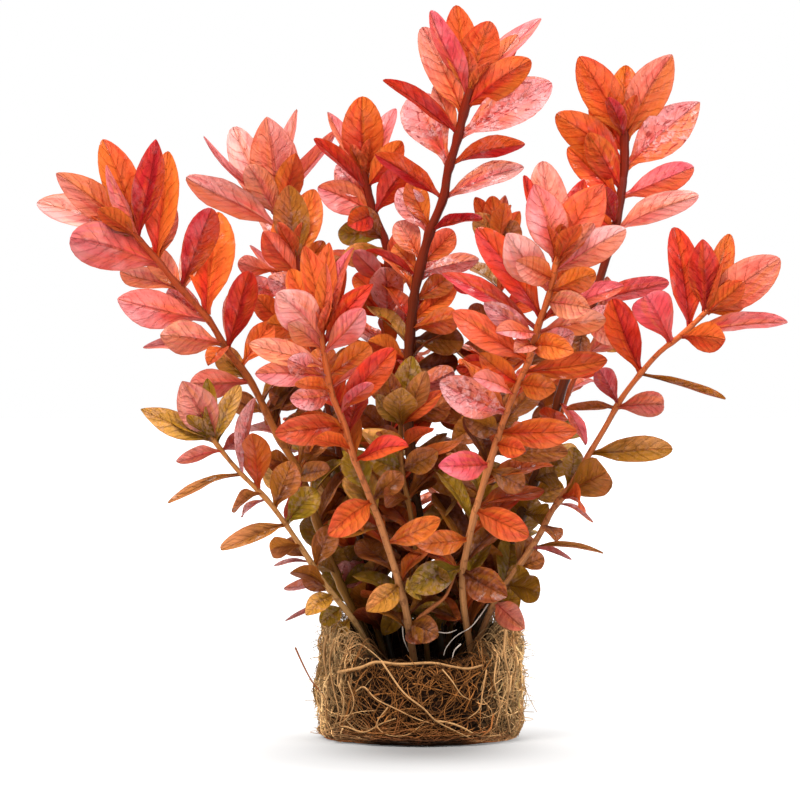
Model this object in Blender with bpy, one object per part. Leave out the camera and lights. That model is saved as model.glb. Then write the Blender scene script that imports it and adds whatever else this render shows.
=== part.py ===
"""Red rotala: a clump of reddish aquarium stems with opposite leaves, growing from a round plug of roots.

Metres, +Z up. The origin is the middle of the plug's flat underside, and the clump is seen from -Y.
Stem and leaf points are written in millimetres as they show from the front, at the viewing distance below,
together with their depth: negative is nearer the viewer.
"""

import math
import random

import bpy
from mathutils import Vector
from mathutils.bvhtree import BVHTree

MM = 0.001

# Plug of roots
PLUG_RADIUS = 25.0
PLUG_RIM_SIDE = 28.0
PLUG_RIM_FRONT = 19.5
PLUG_DISH_FLOOR = 17.0
PLUG_DISH_RADIUS = 17.6
PLUG_LUMP = 0.7
PLUG_SEED = 4
PLUG_COLOUR = (0.20, 0.11, 0.045)
PLUG_ROUGHNESS = 0.9
LEAF_ROUGHNESS = 0.35
PLUG_PROFILE = ((0.93, 0.0), (0.99, 0.08), (1.0, 0.35), (1.0, 0.68), (0.97, 0.92), (0.90, 1.0), (0.82, 0.92))
PLUG_SIDES = 26
RIM_FALL = 1.5

# How the clump is seen, which turns the front-view points into places
VIEW_DISTANCE = 950.0
VIEW_HEIGHT = 92.0

# Leaf blades
LEAF_THICKNESS = 0.55
LEAF_KEEL = 0.12
LEAF_ARCH = 0.05
LEAF_SLENDERNESS = 0.34
LEAF_FOOT = 0.5
LEAF_EDGE = 0.6
LEAF_NEARLY_END_ON = 0.05
SMALL_LEAF_LENGTH = 16.0
SMALL_LEAF_WIDTH = 6.6
BROAD_LEAF_LENGTH = 20.0
BROAD_STATIONS = ((0.0, 0.18), (0.22, 0.78), (0.54, 1.0), (0.83, 0.74))
SMALL_STATIONS = ((0.0, 0.20), (0.34, 0.94), (0.78, 0.84))

# Stems
STEM_SIDES = 5
STEM_STEP = 14.0
STEM_FINE_STEP = 1.0
SHORT_LAST_STEP = 0.4
STEM_FOOT_GAP = 0.35
TIP_TAPER = 0.7

# Clear space between pieces
GAP = 0.32

# Depth changes tried when a leaf would touch another piece
DEPTH_TRIES = (0, 1.5, -1.5, 3, -3, 4.5, -4.5, 6, -6, 8, -8, 10, -10, 12, -12, 14, -14, 17, -17, 20, -20)

TINTS = {
    "red": (0.62, 0.045, 0.02),
    "crimson": (0.42, 0.012, 0.022),
    "coral": (0.80, 0.12, 0.06),
    "orange": (0.72, 0.13, 0.015),
    "salmon": (0.84, 0.27, 0.15),
    "pink": (0.80, 0.20, 0.20),
    "rose": (0.60, 0.07, 0.09),
    "pale": (0.88, 0.46, 0.38),
    "peach": (0.86, 0.38, 0.20),
    "amber": (0.48, 0.12, 0.012),
    "gold": (0.62, 0.30, 0.035),
    "olive": (0.22, 0.13, 0.012),
    "brown": (0.17, 0.035, 0.010),
    "dark": (0.07, 0.008, 0.006),
    "mauve": (0.42, 0.17, 0.18),
}

# Each stem: depth at its foot and tip, radius at its foot and tip, the height where its crown starts,
# its tint, and its path from foot to tip as (across, up)
STEMS = {
    "far_left": (3, -14, 1.25, 0.8, 113.5, "amber", (
        (-12, 18), (-15, 28), (-20, 38.5), (-25, 51.5), (-29.8, 65.2), (-35.7, 75.7), (-42.4, 89),
        (-48.3, 96.8), (-53, 104.5), (-61, 113.5), (-65.5, 119), (-72, 126.5))),
    "low_left": (-6, -24, 0.8, 0.6, 69.5, "gold", (
        (-11, 19), (-16.1, 28.5), (-23.6, 38), (-29.4, 47), (-33.6, 53.2), (-38.5, 59.6), (-44.8, 65.9),
        (-49, 70.8), (-52.5, 75.5))),
    "left_back": (10, 34, 0.9, 0.7, 127, "amber", (
        (-8.5, 19), (-14, 38), (-19, 52), (-25, 70), (-30, 88), (-33.5, 105), (-35.5, 120), (-36, 132.5))),
    "mid_left": (7, 6, 1.0, 0.75, 108, "brown", (
        (-7, 19), (-11, 36), (-15, 50), (-20, 70), (-24.5, 88), (-28.5, 105), (-31, 121))),
    "front_left": (-10, -34, 1.05, 0.75, 93.5, "peach", (
        (-1.5, 19), (-3.9, 33.4), (-8.3, 48.4), (-12.1, 59), (-16.3, 69.2), (-19.2, 78.7), (-22, 85.5),
        (-23.8, 94.1), (-24.9, 101.5))),
    "centre_back": (12, 24, 1.15, 1.0, 129, "brown", (
        (-2, 19), (-3.5, 38), (-6, 55), (-8, 75), (-8.5, 95), (-8, 112), (-8.5, 123), (-11.5, 131),
        (-13, 136.5), (-14, 141.5))),
    "small_centre": (-3, -16, 0.8, 0.65, 74.5, "olive", (
        (2, 19), (0, 38), (-2.3, 55.4), (-4.5, 66.9), (-4.8, 80))),
    "tall_centre": (4, 2, 1.5, 1.2, 146, "brown", (
        (6, 19), (3, 36), (0, 52), (-2.2, 70), (-3.2, 88), (-1.9, 106.4), (-0.5, 115.2), (2.3, 125.7),
        (5.8, 134.5), (6.9, 141), (9.2, 149), (10.8, 155.5), (12.5, 162))),
    "mid_right": (13, 4, 0.85, 0.65, 118, "amber", (
        (6.5, 19), (10, 45), (14, 65), (18, 85), (20, 102), (19.5, 124))),
    "front_right": (-6, -33, 1.0, 0.8, 106.5, "peach", (
        (13.2, 19), (11, 32), (10.6, 40.5), (11.5, 46), (13.7, 55.8), (17, 67), (19.6, 75.1), (22, 82.1),
        (24.5, 88.4), (27.2, 94.1), (29.6, 102.9), (32.1, 109.9), (34.5, 120.5))),
    "tall_right": (6, 24, 1.4, 1.15, 140.2, "brown", (
        (11, 19), (15, 30), (20, 42), (26, 57), (31, 71), (35.8, 88), (41.9, 104.7), (45.2, 115.2), (49, 128),
        (50, 134), (51, 142), (51.2, 152))),
    "right_back": (12, 36, 0.75, 0.6, 98, "amber", (
        (9, 19), (16, 31), (22.5, 43), (28.5, 60), (34, 77), (38.8, 90), (44, 100), (46, 105))),
    "right": (-3, -10, 0.95, 0.7, 95, "peach", (
        (13, 19), (16.5, 29), (20.5, 36.5), (29, 49.1), (33.2, 56.9), (37.5, 62.5), (42.4, 70.9),
        (46.6, 77.9), (50.1, 84.2), (54.6, 90.2), (59.9, 96.2), (66, 101), (72.7, 107.5))),
}

# Leaves of each stem: which piece it belongs to ("crown", "stem", or "leaf" for a separate one),
# where it leaves the stem, its tip, its width as it shows, how far its tip lies behind its base, and its tint
LEAVES = {
    "far_left": (
        ("leaf", -65, 118.5, -87.5, 124.8, 11, -8, "pink"),
        ("leaf", -60.5, 111, -52, 132.2, 7.5, -6, "crimson"),
        ("leaf", -52.5, 105.5, -50.3, 131.3, 11, 5, "amber"),
        ("stem", -53.5, 103.5, -75.7, 109.5, 9, -4, "pink"),
        ("crown", -72.5, 126.5, -79.3, 149.5, 8.5, 4, "orange"),
        ("crown", -72.5, 127, -78.5, 143, 3.5, -5, "pink"),
        ("crown", -72.5, 126.5, -91, 141, 8, -4, "salmon"),
        ("crown", -72, 125.5, -95.8, 133.6, 7.5, 8, "pale"),
        ("crown", -71, 125, -66, 149.5, 7, -3, "crimson"),
        ("crown", -65.5, 120.5, -63, 146.5, 8, 7, "orange"),
        ("stem", -61, 112, -75, 116.5, 5.5, 12, "orange"),
        ("stem", -59, 111, -57, 124.5, 4.5, 8, "pale"),
        ("stem", -50, 98.5, -65, 100.5, 8, -9, "amber"),
        ("stem", -50, 98, -69.3, 97.4, 4, 6, "pink"),
        ("stem", -48.5, 97, -53, 93, 3, -5, "orange"),
        ("stem", -48, 96.5, -42.6, 116.5, 7, -6, "red"),
        ("stem", -48, 97, -45, 113, 5, 9, "pale"),
        ("stem", -42.5, 88.5, -57.5, 88.5, 7, -5, "rose"),
        ("stem", -36, 75.5, -42, 78, 3.5, 6, "pale"),
        ("stem", -35, 74, -38, 84, 4, 13, "amber"),
        ("stem", -31.5, 67.5, -38.5, 70, 5, -5, "brown"),
        ("stem", -28, 61.5, -38.5, 66.5, 6.5, 5, "gold"),
        ("stem", -29.8, 65.2, -22.5, 67, 4.5, -4, "brown"),
        ("stem", -29.5, 64, -33, 54, 2.6, -7, "rose"),
        ("stem", -25.5, 54, -33.5, 58, 4, 7, "gold"),
        ("stem", -25, 53, -19.5, 61, 4.5, 7, "brown"),
        ("stem", -20.5, 41, -26.5, 43.5, 3.5, -5, "gold"),
        ("stem", -19, 38, -13.5, 43, 3.5, 5, "olive"),
    ),
    "low_left": (
        ("crown", -53.2, 75.3, -69.9, 82, 5.8, -3, "gold"),
        ("crown", -53, 76, -59.5, 89, 9, -4, "mauve"),
        ("crown", -52.4, 75.7, -53.2, 89.7, 4, 5, "olive"),
        ("crown", -51.1, 75, -45, 88, 4.4, -2, "orange"),
        ("crown", -49.8, 73.5, -46.5, 85.2, 3.5, 5, "olive"),
        ("crown", -49, 71.5, -61, 69, 3.5, -8, "rose"),
        ("crown", -49, 71.5, -43.5, 76, 4, 6, "mauve"),
        ("stem", -40.3, 62, -42, 76, 7, -4, "amber"),
        ("leaf", -33.8, 53.3, -49.8, 46.8, 4, -4, "amber"),
        ("stem", -45.2, 66.2, -63.1, 58.5, 2, -3, "mauve"),
        ("stem", -44.5, 65.7, -41.3, 84.8, 3, 3, "rose"),
        ("stem", -39.6, 60.7, -47, 57, 3.5, -6, "orange"),
        ("stem", -38.5, 59.5, -44.6, 55, 1.6, 2, "mauve"),
        ("stem", -30, 47.5, -37.5, 46.6, 5, -7, "brown"),
        ("stem", -27, 44, -36.6, 42.8, 1.2, 3, "mauve"),
        ("stem", -24, 38.3, -32, 41.5, 4, -4, "brown"),
        ("stem", -23.5, 37.5, -34, 37.3, 2.5, 2, "mauve"),
        ("stem", -21.5, 35.5, -28.5, 30.5, 4.5, -4, "gold"),
        ("stem", -21.5, 35, -33.8, 29, 1.1, 3, "mauve"),
    ),
    "left_back": (
        ("leaf", -37, 128, -58.5, 140, 7.5, -6, "salmon"),
        ("crown", -35.6, 132.5, -38.3, 155.1, 11.7, -3, "salmon"),
        ("crown", -36, 131.5, -46.8, 152.5, 8.5, 6, "pale"),
        ("crown", -36, 132, -54.1, 150.3, 2, -5, "pink"),
        ("crown", -35.8, 132, -30.8, 157, 4.2, 7, "rose"),
        ("crown", -35.8, 130, -20.8, 151.7, 3.5, 2, "pink"),
        ("stem", -35.5, 121, -40, 131, 4, 14, "pale"),
        ("stem", -35.5, 116, -45.5, 118.8, 5, -5, "salmon"),
        ("stem", -34.5, 112, -42.5, 123, 2, 6, "pink"),
        ("stem", -34.5, 112, -27, 119, 5, 13, "orange"),
        ("stem", -32, 98, -42, 101, 5, 10, "orange"),
        ("stem", -32, 98, -24, 105, 5, 13, "amber"),
        ("stem", -29, 85, -38, 91, 5, 12, "salmon"),
        ("stem", -29, 85, -21, 91, 5, 12, "amber"),
        ("stem", -25, 70, -33, 76, 5, 12, "olive"),
        ("stem", -25, 70, -17.5, 76, 5, 12, "brown"),
        ("stem", -19.5, 53, -27.5, 57, 5, 12, "olive"),
        ("stem", -19.5, 53, -14, 59, 5, 12, "brown"),
    ),
    "mid_left": (
        ("crown", -31, 120, -32.8, 138, 8.5, -4, "amber"),
        ("crown", -31, 120, -26.5, 137, 8, 4, "orange"),
        ("crown", -30, 115, -39.3, 126.4, 7, -5, "coral"),
        ("crown", -30, 115, -24, 124, 5, 6, "amber"),
        ("leaf", -24, 86, -37.8, 85, 6.5, -4, "brown"),
        ("stem", -27.5, 101, -38.3, 103.5, 6, -3, "amber"),
        ("stem", -27, 99, -43.5, 99.5, 3, 5, "peach"),
        ("stem", -25, 90, -15.5, 96, 6, 6, "brown"),
        ("stem", -22.5, 80, -14.5, 87, 6, 5, "brown"),
        ("stem", -20, 70, -29, 71, 5.5, -4, "brown"),
        ("stem", -18, 62, -9.5, 69, 6.5, -3, "brown"),
        ("stem", -16.5, 56, -24.5, 61, 5, 4, "olive"),
        ("stem", -13, 44, -20.5, 38.3, 7, -6, "mauve"),
        ("stem", -12, 41, -5.5, 46, 4.5, -3, "brown"),
    ),
    "front_left": (
        ("leaf", -24, 92.3, -42.7, 98.2, 5.5, -6, "peach"),
        ("leaf", -20.5, 81.5, -6.3, 97, 7, -8, "coral"),
        ("leaf", -19, 77.6, -36.3, 75.9, 7, -8, "coral"),
        ("leaf", -16, 69.3, -2.9, 72.7, 4.8, -10, "red"),
        ("leaf", -12, 58.7, -23, 50.5, 7, -9, "orange"),
        ("crown", -24, 99.5, -35.8, 111.2, 9.5, -14, "pale"),
        ("crown", -24.5, 101, -28.9, 122.8, 6.5, 3, "orange"),
        ("crown", -24.5, 101, -22.7, 123.7, 6.5, 6, "orange"),
        ("crown", -24.5, 101, -23.6, 118.5, 4, -5, "coral"),
        ("crown", -24.5, 100, -16.6, 122.5, 4.5, 3, "rose"),
        ("crown", -24, 98, -11.7, 113.3, 5.5, -3, "red"),
        ("crown", -24, 96.4, -14, 107, 6.5, -12, "pink"),
        ("stem", -23.2, 90.1, -41.3, 90.8, 6, -11, "pink"),
        ("stem", -22.5, 86.5, -30.6, 89, 4, -15, "amber"),
        ("stem", -22.5, 87, -7, 94.2, 2, -4, "pink"),
        ("stem", -23, 90, -12.5, 98, 6, 7, "amber"),
        ("stem", -17.4, 72.5, -26.2, 74.8, 4, -14, "orange"),
        ("stem", -8.3, 48.5, 5.1, 54.5, 5.5, -5, "amber"),
        ("stem", -9.5, 52, -20, 51, 3.2, 4, "brown"),
        ("stem", -5.2, 38.5, -13.4, 31.5, 6, -7, "gold"),
        ("stem", -4, 34, -9.2, 25.5, 5, 3, "olive"),
    ),
    "centre_back": (
        ("leaf", -8, 104, -8.8, 117.5, 8, -9, "mauve"),
        ("crown", -13.5, 140.9, -14.4, 160.2, 10, -3, "orange"),
        ("crown", -14, 141, -23.1, 156.3, 4, 4, "pink"),
        ("crown", -14, 141, -6.1, 157.2, 5, 5, "pink"),
        ("crown", -12.8, 137, -26.5, 149.7, 3.5, -6, "red"),
        ("crown", -11.7, 131.5, -2.5, 143.5, 7, -8, "red"),
        ("crown", -11.7, 131.5, -25.6, 137.5, 8, 3, "pink"),
        ("crown", -11.5, 131, -18, 128, 6, -12, "red"),
        ("stem", -9, 124.5, -20.5, 126, 6, 5, "olive"),
        ("stem", -8, 113, -16.5, 121.5, 5.5, -3, "pink"),
        ("stem", -8.2, 108, -16.5, 115.5, 5.5, 5, "orange"),
        ("stem", -8.5, 110, -3, 121, 5.5, 8, "amber"),
        ("stem", -8.5, 95, -9.3, 105, 4, -5, "orange"),
        ("stem", -8.5, 95, -15.5, 101.5, 4, 4, "mauve"),
        ("stem", -8.4, 90, -14, 97, 5, 8, "olive"),
        ("stem", -8, 76, -15, 82, 6, -3, "brown"),
        ("stem", -8, 76, -1, 82.5, 6, 8, "dark"),
        ("stem", -7, 64, -14.5, 67, 5, 5, "brown"),
        ("stem", -5, 50, 1, 57, 5, 8, "dark"),
    ),
    "small_centre": (
        ("crown", -4.7, 79, -2, 95.3, 7, 3, "olive"),
        ("crown", -4.8, 78.5, -4.5, 87.4, 8, -11, "gold"),
        ("crown", -4.7, 78.5, 5.7, 86.6, 4, -3, "orange"),
        ("crown", -4.8, 78, -10.9, 85.7, 4.5, -2, "gold"),
        ("stem", -4.7, 73.5, 2.9, 77.3, 3.6, -4, "orange"),
        ("stem", -4.7, 72.5, -10, 76.5, 3.5, -4, "brown"),
        ("stem", -3.2, 60, 3.5, 65, 4, 3, "brown"),
        ("stem", -3.2, 60, -9, 60.5, 5, -3, "brown"),
        ("stem", 0, 38, -3.6, 36.8, 6, -8, "olive"),
        ("stem", 0.2, 37, 6.8, 41.3, 5, -7, "olive"),
    ),
    "tall_centre": (
        ("leaf", 9.4, 149.5, 33, 163.5, 10, 3, "pink"),
        ("stem", 7.2, 142.5, -1.8, 160.8, 11, 5, "pale"),
        ("leaf", 7.4, 143, 26.3, 148.3, 5, -4, "crimson"),
        ("leaf", 5.9, 135, 26, 142.5, 5.5, 3, "mauve"),
        ("leaf", 5.8, 134.3, -11.2, 145.8, 5, -3, "crimson"),
        ("stem", -2.2, 70, 14.5, 61, 9, -3, "brown"),
        ("crown", 10.5, 155.2, 0.5, 177.5, 8.5, 6, "salmon"),
        ("crown", 11.8, 160, 2.7, 181.7, 5.5, -3, "crimson"),
        ("crown", 12.5, 162, 9, 183, 8, 3, "orange"),
        ("crown", 12.5, 161.5, 17.5, 179, 9.5, -4, "orange"),
        ("crown", 12.5, 161, 30.3, 179.7, 5, 6, "pink"),
        ("crown", 11.5, 157.5, 27.7, 169.3, 8, -5, "crimson"),
        ("crown", 9.8, 151, -9.3, 164.3, 4, -4, "red"),
        ("stem", 2.5, 126, -5.5, 137, 7, 5, "mauve"),
        ("stem", 2.9, 127, 15.6, 129.8, 2.6, -3, "crimson"),
        ("stem", -0.3, 116, 14.8, 119.5, 4.8, -4, "mauve"),
        ("stem", -0.3, 116, -6.5, 123, 6, 7, "amber"),
        ("stem", -0.5, 115.5, -13.5, 121.8, 2, -3, "red"),
        ("stem", -2.2, 104, 9, 113.5, 5.5, 5, "orange"),
        ("stem", -2.4, 102, 10, 105, 6.5, -4, "amber"),
        ("stem", -2.6, 99, 11, 99, 7.5, 4, "dark"),
        ("stem", -3, 92, 9.5, 94, 6.5, 7, "dark"),
        ("stem", -3, 86, 8.5, 91.5, 6, -4, "mauve"),
        ("stem", 0, 53, 7.5, 58.5, 6, 5, "brown"),
        ("stem", 3.2, 35, 10, 29.5, 5.5, -7, "amber"),
        ("stem", 2.3, 40, 8.5, 45.5, 5, 4, "olive"),
    ),
    "mid_right": (
        ("crown", 19.5, 123, 18, 135.3, 5.5, -3, "amber"),
        ("crown", 19.5, 122, 13.8, 135, 4.5, 4, "orange"),
        ("crown", 19.5, 123, 21.3, 135.5, 4, 4, "peach"),
        ("crown", 19.5, 122, 25, 131.5, 4.5, -2, "orange"),
        ("stem", 19.8, 110, 8.5, 113.5, 4.5, -5, "crimson"),
        ("stem", 20, 101, 12, 107, 6, 6, "brown"),
        ("stem", 19, 93, 11, 98, 6, 5, "brown"),
        ("stem", 19, 93, 26.5, 98, 6, 6, "amber"),
        ("stem", 16.5, 77, 5, 80.5, 5.5, 3, "brown"),
        ("stem", 16.5, 77, 23.5, 82, 5.5, 5, "dark"),
        ("stem", 13.5, 63, 21, 67, 5.5, 5, "olive"),
        ("stem", 10.5, 47, 3.5, 51, 5, 5, "olive"),
    ),
    "front_right": (
        ("leaf", 30.2, 105.2, 14.2, 127.3, 8, 3, "red"),
        ("leaf", 27, 93.8, 8.2, 106.4, 7, -8, "coral"),
        ("leaf", 22, 81.5, 4.9, 88.8, 8.5, -8, "red"),
        ("leaf", 26.5, 91, 46.9, 94.2, 6, -5, "orange"),
        ("leaf", 20.4, 76.5, 39.3, 76.4, 7, -8, "orange"),
        ("leaf", 17.2, 67.6, 4.6, 67.7, 6.8, -9, "coral"),
        ("leaf", 14, 56.6, 27.2, 50.2, 6.8, -7, "orange"),
        ("leaf", 12.2, 49.5, -1.4, 48.3, 5.8, -9, "gold"),
        ("crown", 34.3, 119.5, 28.6, 138.3, 9.2, -4, "salmon"),
        ("crown", 32.4, 111.3, 21.6, 125.9, 9, -10, "pink"),
        ("crown", 34.5, 120.3, 30.6, 144, 9, 6, "salmon"),
        ("crown", 34.5, 120, 26, 140.5, 4, 3, "red"),
        ("crown", 34.5, 120.3, 46, 138.3, 10, -3, "salmon"),
        ("crown", 34.5, 120.3, 41, 139.5, 6, 6, "red"),
        ("crown", 33.6, 116.6, 51.5, 127, 7.5, -8, "pale"),
        ("crown", 32.5, 111.5, 44, 116, 6, -12, "amber"),
        ("stem", 29.2, 102, 5.4, 115.9, 4.5, 5, "crimson"),
        ("stem", 29.2, 101, 19, 101.3, 4, -14, "pink"),
        ("stem", 28.4, 98, 23.6, 96.2, 4, -12, "salmon"),
        ("stem", 29.6, 103.5, 51, 112.8, 5, -4, "rose"),
        ("stem", 29, 100.5, 46.5, 104.5, 6, 7, "peach"),
        ("stem", 28.4, 98, 38.5, 96.3, 6, -14, "amber"),
        ("stem", 23.8, 86, 13.3, 89.9, 4, -14, "pink"),
        ("stem", 19, 73.5, 26.3, 71.5, 5, -14, "orange"),
        ("stem", 18, 70.5, 37, 71.3, 5.5, 5, "mauve"),
        ("stem", 16.5, 65, 23.5, 66, 5, 5, "olive"),
        ("stem", 13.3, 54.5, 20, 52.5, 3.6, 4, "olive"),
        ("stem", 10.8, 41.5, 21.8, 35, 8, -7, "brown"),
    ),
    "tall_right": (
        ("leaf", 50, 134.5, 68.5, 142.5, 7, -4, "rose"),
        ("leaf", 48.6, 126.5, 69.7, 135.5, 6.5, -4, "pale"),
        ("crown", 51, 150, 39.8, 170.2, 9.5, -4, "orange"),
        ("crown", 51.2, 152, 51.5, 168, 8, 4, "amber"),
        ("crown", 51, 148.5, 63, 170.7, 10, -3, "salmon"),
        ("crown", 51, 141.5, 70, 158.8, 10.5, 5, "pale"),
        ("crown", 51, 142.5, 34, 155.8, 9, -4, "coral"),
        ("crown", 51.2, 151, 47, 160, 4, -9, "crimson"),
        ("stem", 49.8, 134, 37, 147.5, 7, 6, "orange"),
        ("stem", 48.8, 128, 46.3, 137.5, 5, -9, "crimson"),
        ("stem", 47, 121.5, 37.5, 129, 5, 9, "red"),
        ("stem", 43.2, 109, 62.3, 113.7, 5, -3, "rose"),
        ("stem", 41.9, 104.7, 50.3, 98.8, 5.5, 4, "peach"),
        ("stem", 40.5, 101, 39.8, 92.5, 5, -10, "dark"),
        ("stem", 36.5, 90, 28, 96, 6, 7, "brown"),
        ("stem", 35.5, 87, 27, 84, 5, 4, "brown"),
        ("stem", 34.7, 84, 41.5, 73, 3, -6, "rose"),
        ("stem", 31.3, 72, 39.5, 70.5, 5, 6, "gold"),
        ("stem", 28.5, 64, 34, 66, 6.5, -8, "olive"),
        ("stem", 28, 62.5, 17.5, 61, 6, -4, "olive"),
        ("stem", 25.5, 56, 32.5, 55.5, 5.5, -7, "olive"),
        ("stem", 25, 55, 17.5, 58.5, 5, 6, "olive"),
    ),
    "right_back": (
        ("crown", 45.8, 104, 49.5, 112.5, 5, 4, "peach"),
        ("crown", 45.5, 103.5, 41, 111.5, 5, 4, "orange"),
        ("crown", 44.5, 101, 50.5, 96.5, 5, 3, "gold"),
        ("stem", 39, 90.5, 46.5, 89.2, 2.2, 4, "pale"),
        ("stem", 38, 87, 44.5, 88.7, 2, 6, "pink"),
        ("stem", 38, 87, 30, 90.5, 5, 12, "amber"),
        ("stem", 33, 74, 40, 78, 5, 12, "olive"),
        ("stem", 27.5, 57, 21, 62, 5, 12, "olive"),
    ),
    "right": (
        ("leaf", 63.5, 98, 56.5, 110.3, 9.5, -6, "rose"),
        ("leaf", 55, 90.7, 48, 109.5, 7.8, 4, "coral"),
        ("leaf", 42.4, 70.5, 63.2, 72, 6, -3, "gold"),
        ("leaf", 36.2, 60.6, 46.8, 66.3, 9.3, -8, "amber"),
        ("crown", 67.5, 102.5, 63.5, 127.5, 7.5, 4, "coral"),
        ("crown", 72, 107, 70.7, 124.5, 7.5, -3, "red"),
        ("crown", 72.7, 107.5, 77.5, 125.8, 5.5, 4, "amber"),
        ("crown", 72, 107, 90, 119.7, 10, -3, "orange"),
        ("crown", 66.5, 101.5, 92, 103.7, 4, -4, "pink"),
        ("crown", 65, 100, 76.4, 99.4, 7.2, -11, "orange"),
        ("stem", 55.5, 90.5, 76.5, 84.5, 2, -3, "orange"),
        ("stem", 49.5, 83, 44.8, 92, 5.2, -6, "rose"),
        ("stem", 49.3, 82, 61, 83.2, 6, -10, "salmon"),
        ("stem", 49.3, 82.5, 36.6, 82, 2.4, 3, "brown"),
        ("stem", 37, 61.5, 38.5, 72.5, 5, 5, "olive"),
        ("stem", 35.5, 60, 39.8, 57.5, 4.5, -9, "orange"),
        ("stem", 34.5, 58.5, 43.4, 53.7, 1.4, 3, "brown"),
        ("stem", 31, 53, 34, 49, 3.5, -6, "brown"),
        ("stem", 28, 47.7, 46, 46, 1.5, 4, "brown"),
        ("stem", 28, 47.5, 38, 44.4, 1.5, -3, "mauve"),
        ("stem", 21.5, 38, 30, 36, 6.5, -4, "gold"),
        ("stem", 19.3, 33.2, 26, 27, 6, -4, "orange"),
    ),
}


def clear_scene():
    for thing in list(bpy.data.objects):
        bpy.data.objects.remove(thing, do_unlink=True)


def seen(across, up, depth):
    """The place, in mm, that shows at this front-view point from this depth."""
    spread = (VIEW_DISTANCE + depth) / VIEW_DISTANCE
    return Vector((across * spread, depth, VIEW_HEIGHT + (up - VIEW_HEIGHT) * spread))


def eye():
    return Vector((0, -VIEW_DISTANCE, VIEW_HEIGHT))


def smooth_path(points, step):
    """Points along a Catmull-Rom curve through the given ones, about this far apart."""
    ends = [points[0] * 2 - points[1]] + list(points) + [points[-1] * 2 - points[-2]]
    path = []
    for before, start, end, after in zip(ends, ends[1:], ends[2:], ends[3:]):
        pieces = max(1, round((end - start).length / step))
        for piece in range(pieces):
            t = piece / pieces
            path.append(0.5 * (
                2 * start
                + (end - before) * t
                + (2 * before - 5 * start + 4 * end - after) * t * t
                + (3 * start - before - 3 * end + after) * t ** 3))
    path.append(points[-1].copy())
    return path


def stem_axis(name):
    """The stem's middle line from foot to tip, as fine points with the radius at each."""
    foot_depth, tip_depth, foot_radius, tip_radius, _, _, points = STEMS[name]
    low = points[0][1]
    high = points[-1][1]
    placed = []
    for across, up in points:
        share = (up - low) / (high - low)
        placed.append(seen(across, up, foot_depth + (tip_depth - foot_depth) * share))
    path = smooth_path(placed, STEM_FINE_STEP)
    count = len(path) - 1
    return [(point, foot_radius + (tip_radius - foot_radius) * i / count) for i, point in enumerate(path)]


def spaced(axis, step):
    """A few points of a fine axis, about this far apart."""
    picked = [axis[0]]
    for point, radius in axis[1:]:
        if (point - picked[-1][0]).length >= step:
            picked.append((point, radius))
    if (axis[-1][0] - picked[-1][0]).length < step * SHORT_LAST_STEP and len(picked) > 2:
        picked.pop()
    picked.append(axis[-1])
    return picked


def straightened(picked):
    """The same few points with others laid in straight lines between them, about a millimetre apart."""
    axis = []
    for (start, start_radius), (end, end_radius) in zip(picked, picked[1:]):
        count = max(1, round((end - start).length))
        for i in range(count):
            axis.append((start.lerp(end, i / count), start_radius + (end_radius - start_radius) * i / count))
    axis.append(picked[-1])
    return axis


def tube(picked, rounded_tip):
    """A closed tube through a few points, as points and faces."""
    points = []
    faces = []
    count = len(picked)
    for index, (point, radius) in enumerate(picked):
        along = (picked[min(index + 1, count - 1)][0] - picked[max(index - 1, 0)][0]).normalized()
        side = along.cross(Vector((0, 1, 0))).normalized()
        other = along.cross(side)
        if rounded_tip and index == count - 1:
            radius = radius * TIP_TAPER
        for corner in range(STEM_SIDES):
            turn = 2 * math.pi * corner / STEM_SIDES
            points.append(point + (side * math.cos(turn) + other * math.sin(turn)) * radius)
    for ring in range(count - 1):
        for corner in range(STEM_SIDES):
            a = ring * STEM_SIDES + corner
            b = ring * STEM_SIDES + (corner + 1) % STEM_SIDES
            faces.append((a, b, b + STEM_SIDES, a + STEM_SIDES))
    faces.append(tuple(range(STEM_SIDES))[::-1])
    faces.append(tuple(range((count - 1) * STEM_SIDES, count * STEM_SIDES)))
    return points, faces


def leaf_frame(base, tip, shown_width, stem_along):
    """The blade's length direction, its side, its upper side, and its true width, turned as it shows."""
    along = (tip - base).normalized()
    length = (tip - base).length
    to_eye = (eye() - (base + tip) / 2).normalized()
    facing = (to_eye - along * to_eye.dot(along)).normalized()
    natural = stem_along - along * stem_along.dot(along)
    if natural.length < LEAF_NEARLY_END_ON:
        natural = facing
    natural = natural.normalized()
    width = max(shown_width, LEAF_SLENDERNESS * length)
    roll = math.acos(min(1.0, shown_width / width))
    choices = []
    for sign in (1, -1):
        normal = facing * math.cos(roll) + along.cross(facing) * math.sin(roll) * sign
        choices.append((abs(normal.dot(natural)), normal))
    upper = max(choices, key=lambda choice: choice[0])[1]
    if upper.dot(natural) < 0:
        upper = -upper
    return along, along.cross(upper), upper, width


def full_lean(lean, across, up, length):
    """How far a leaf of this length leans out of the view when it shows this far across and up."""
    hidden = math.sqrt(max(0.0, length ** 2 - across ** 2 - up ** 2))
    return math.copysign(max(abs(lean), hidden), lean)


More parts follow.
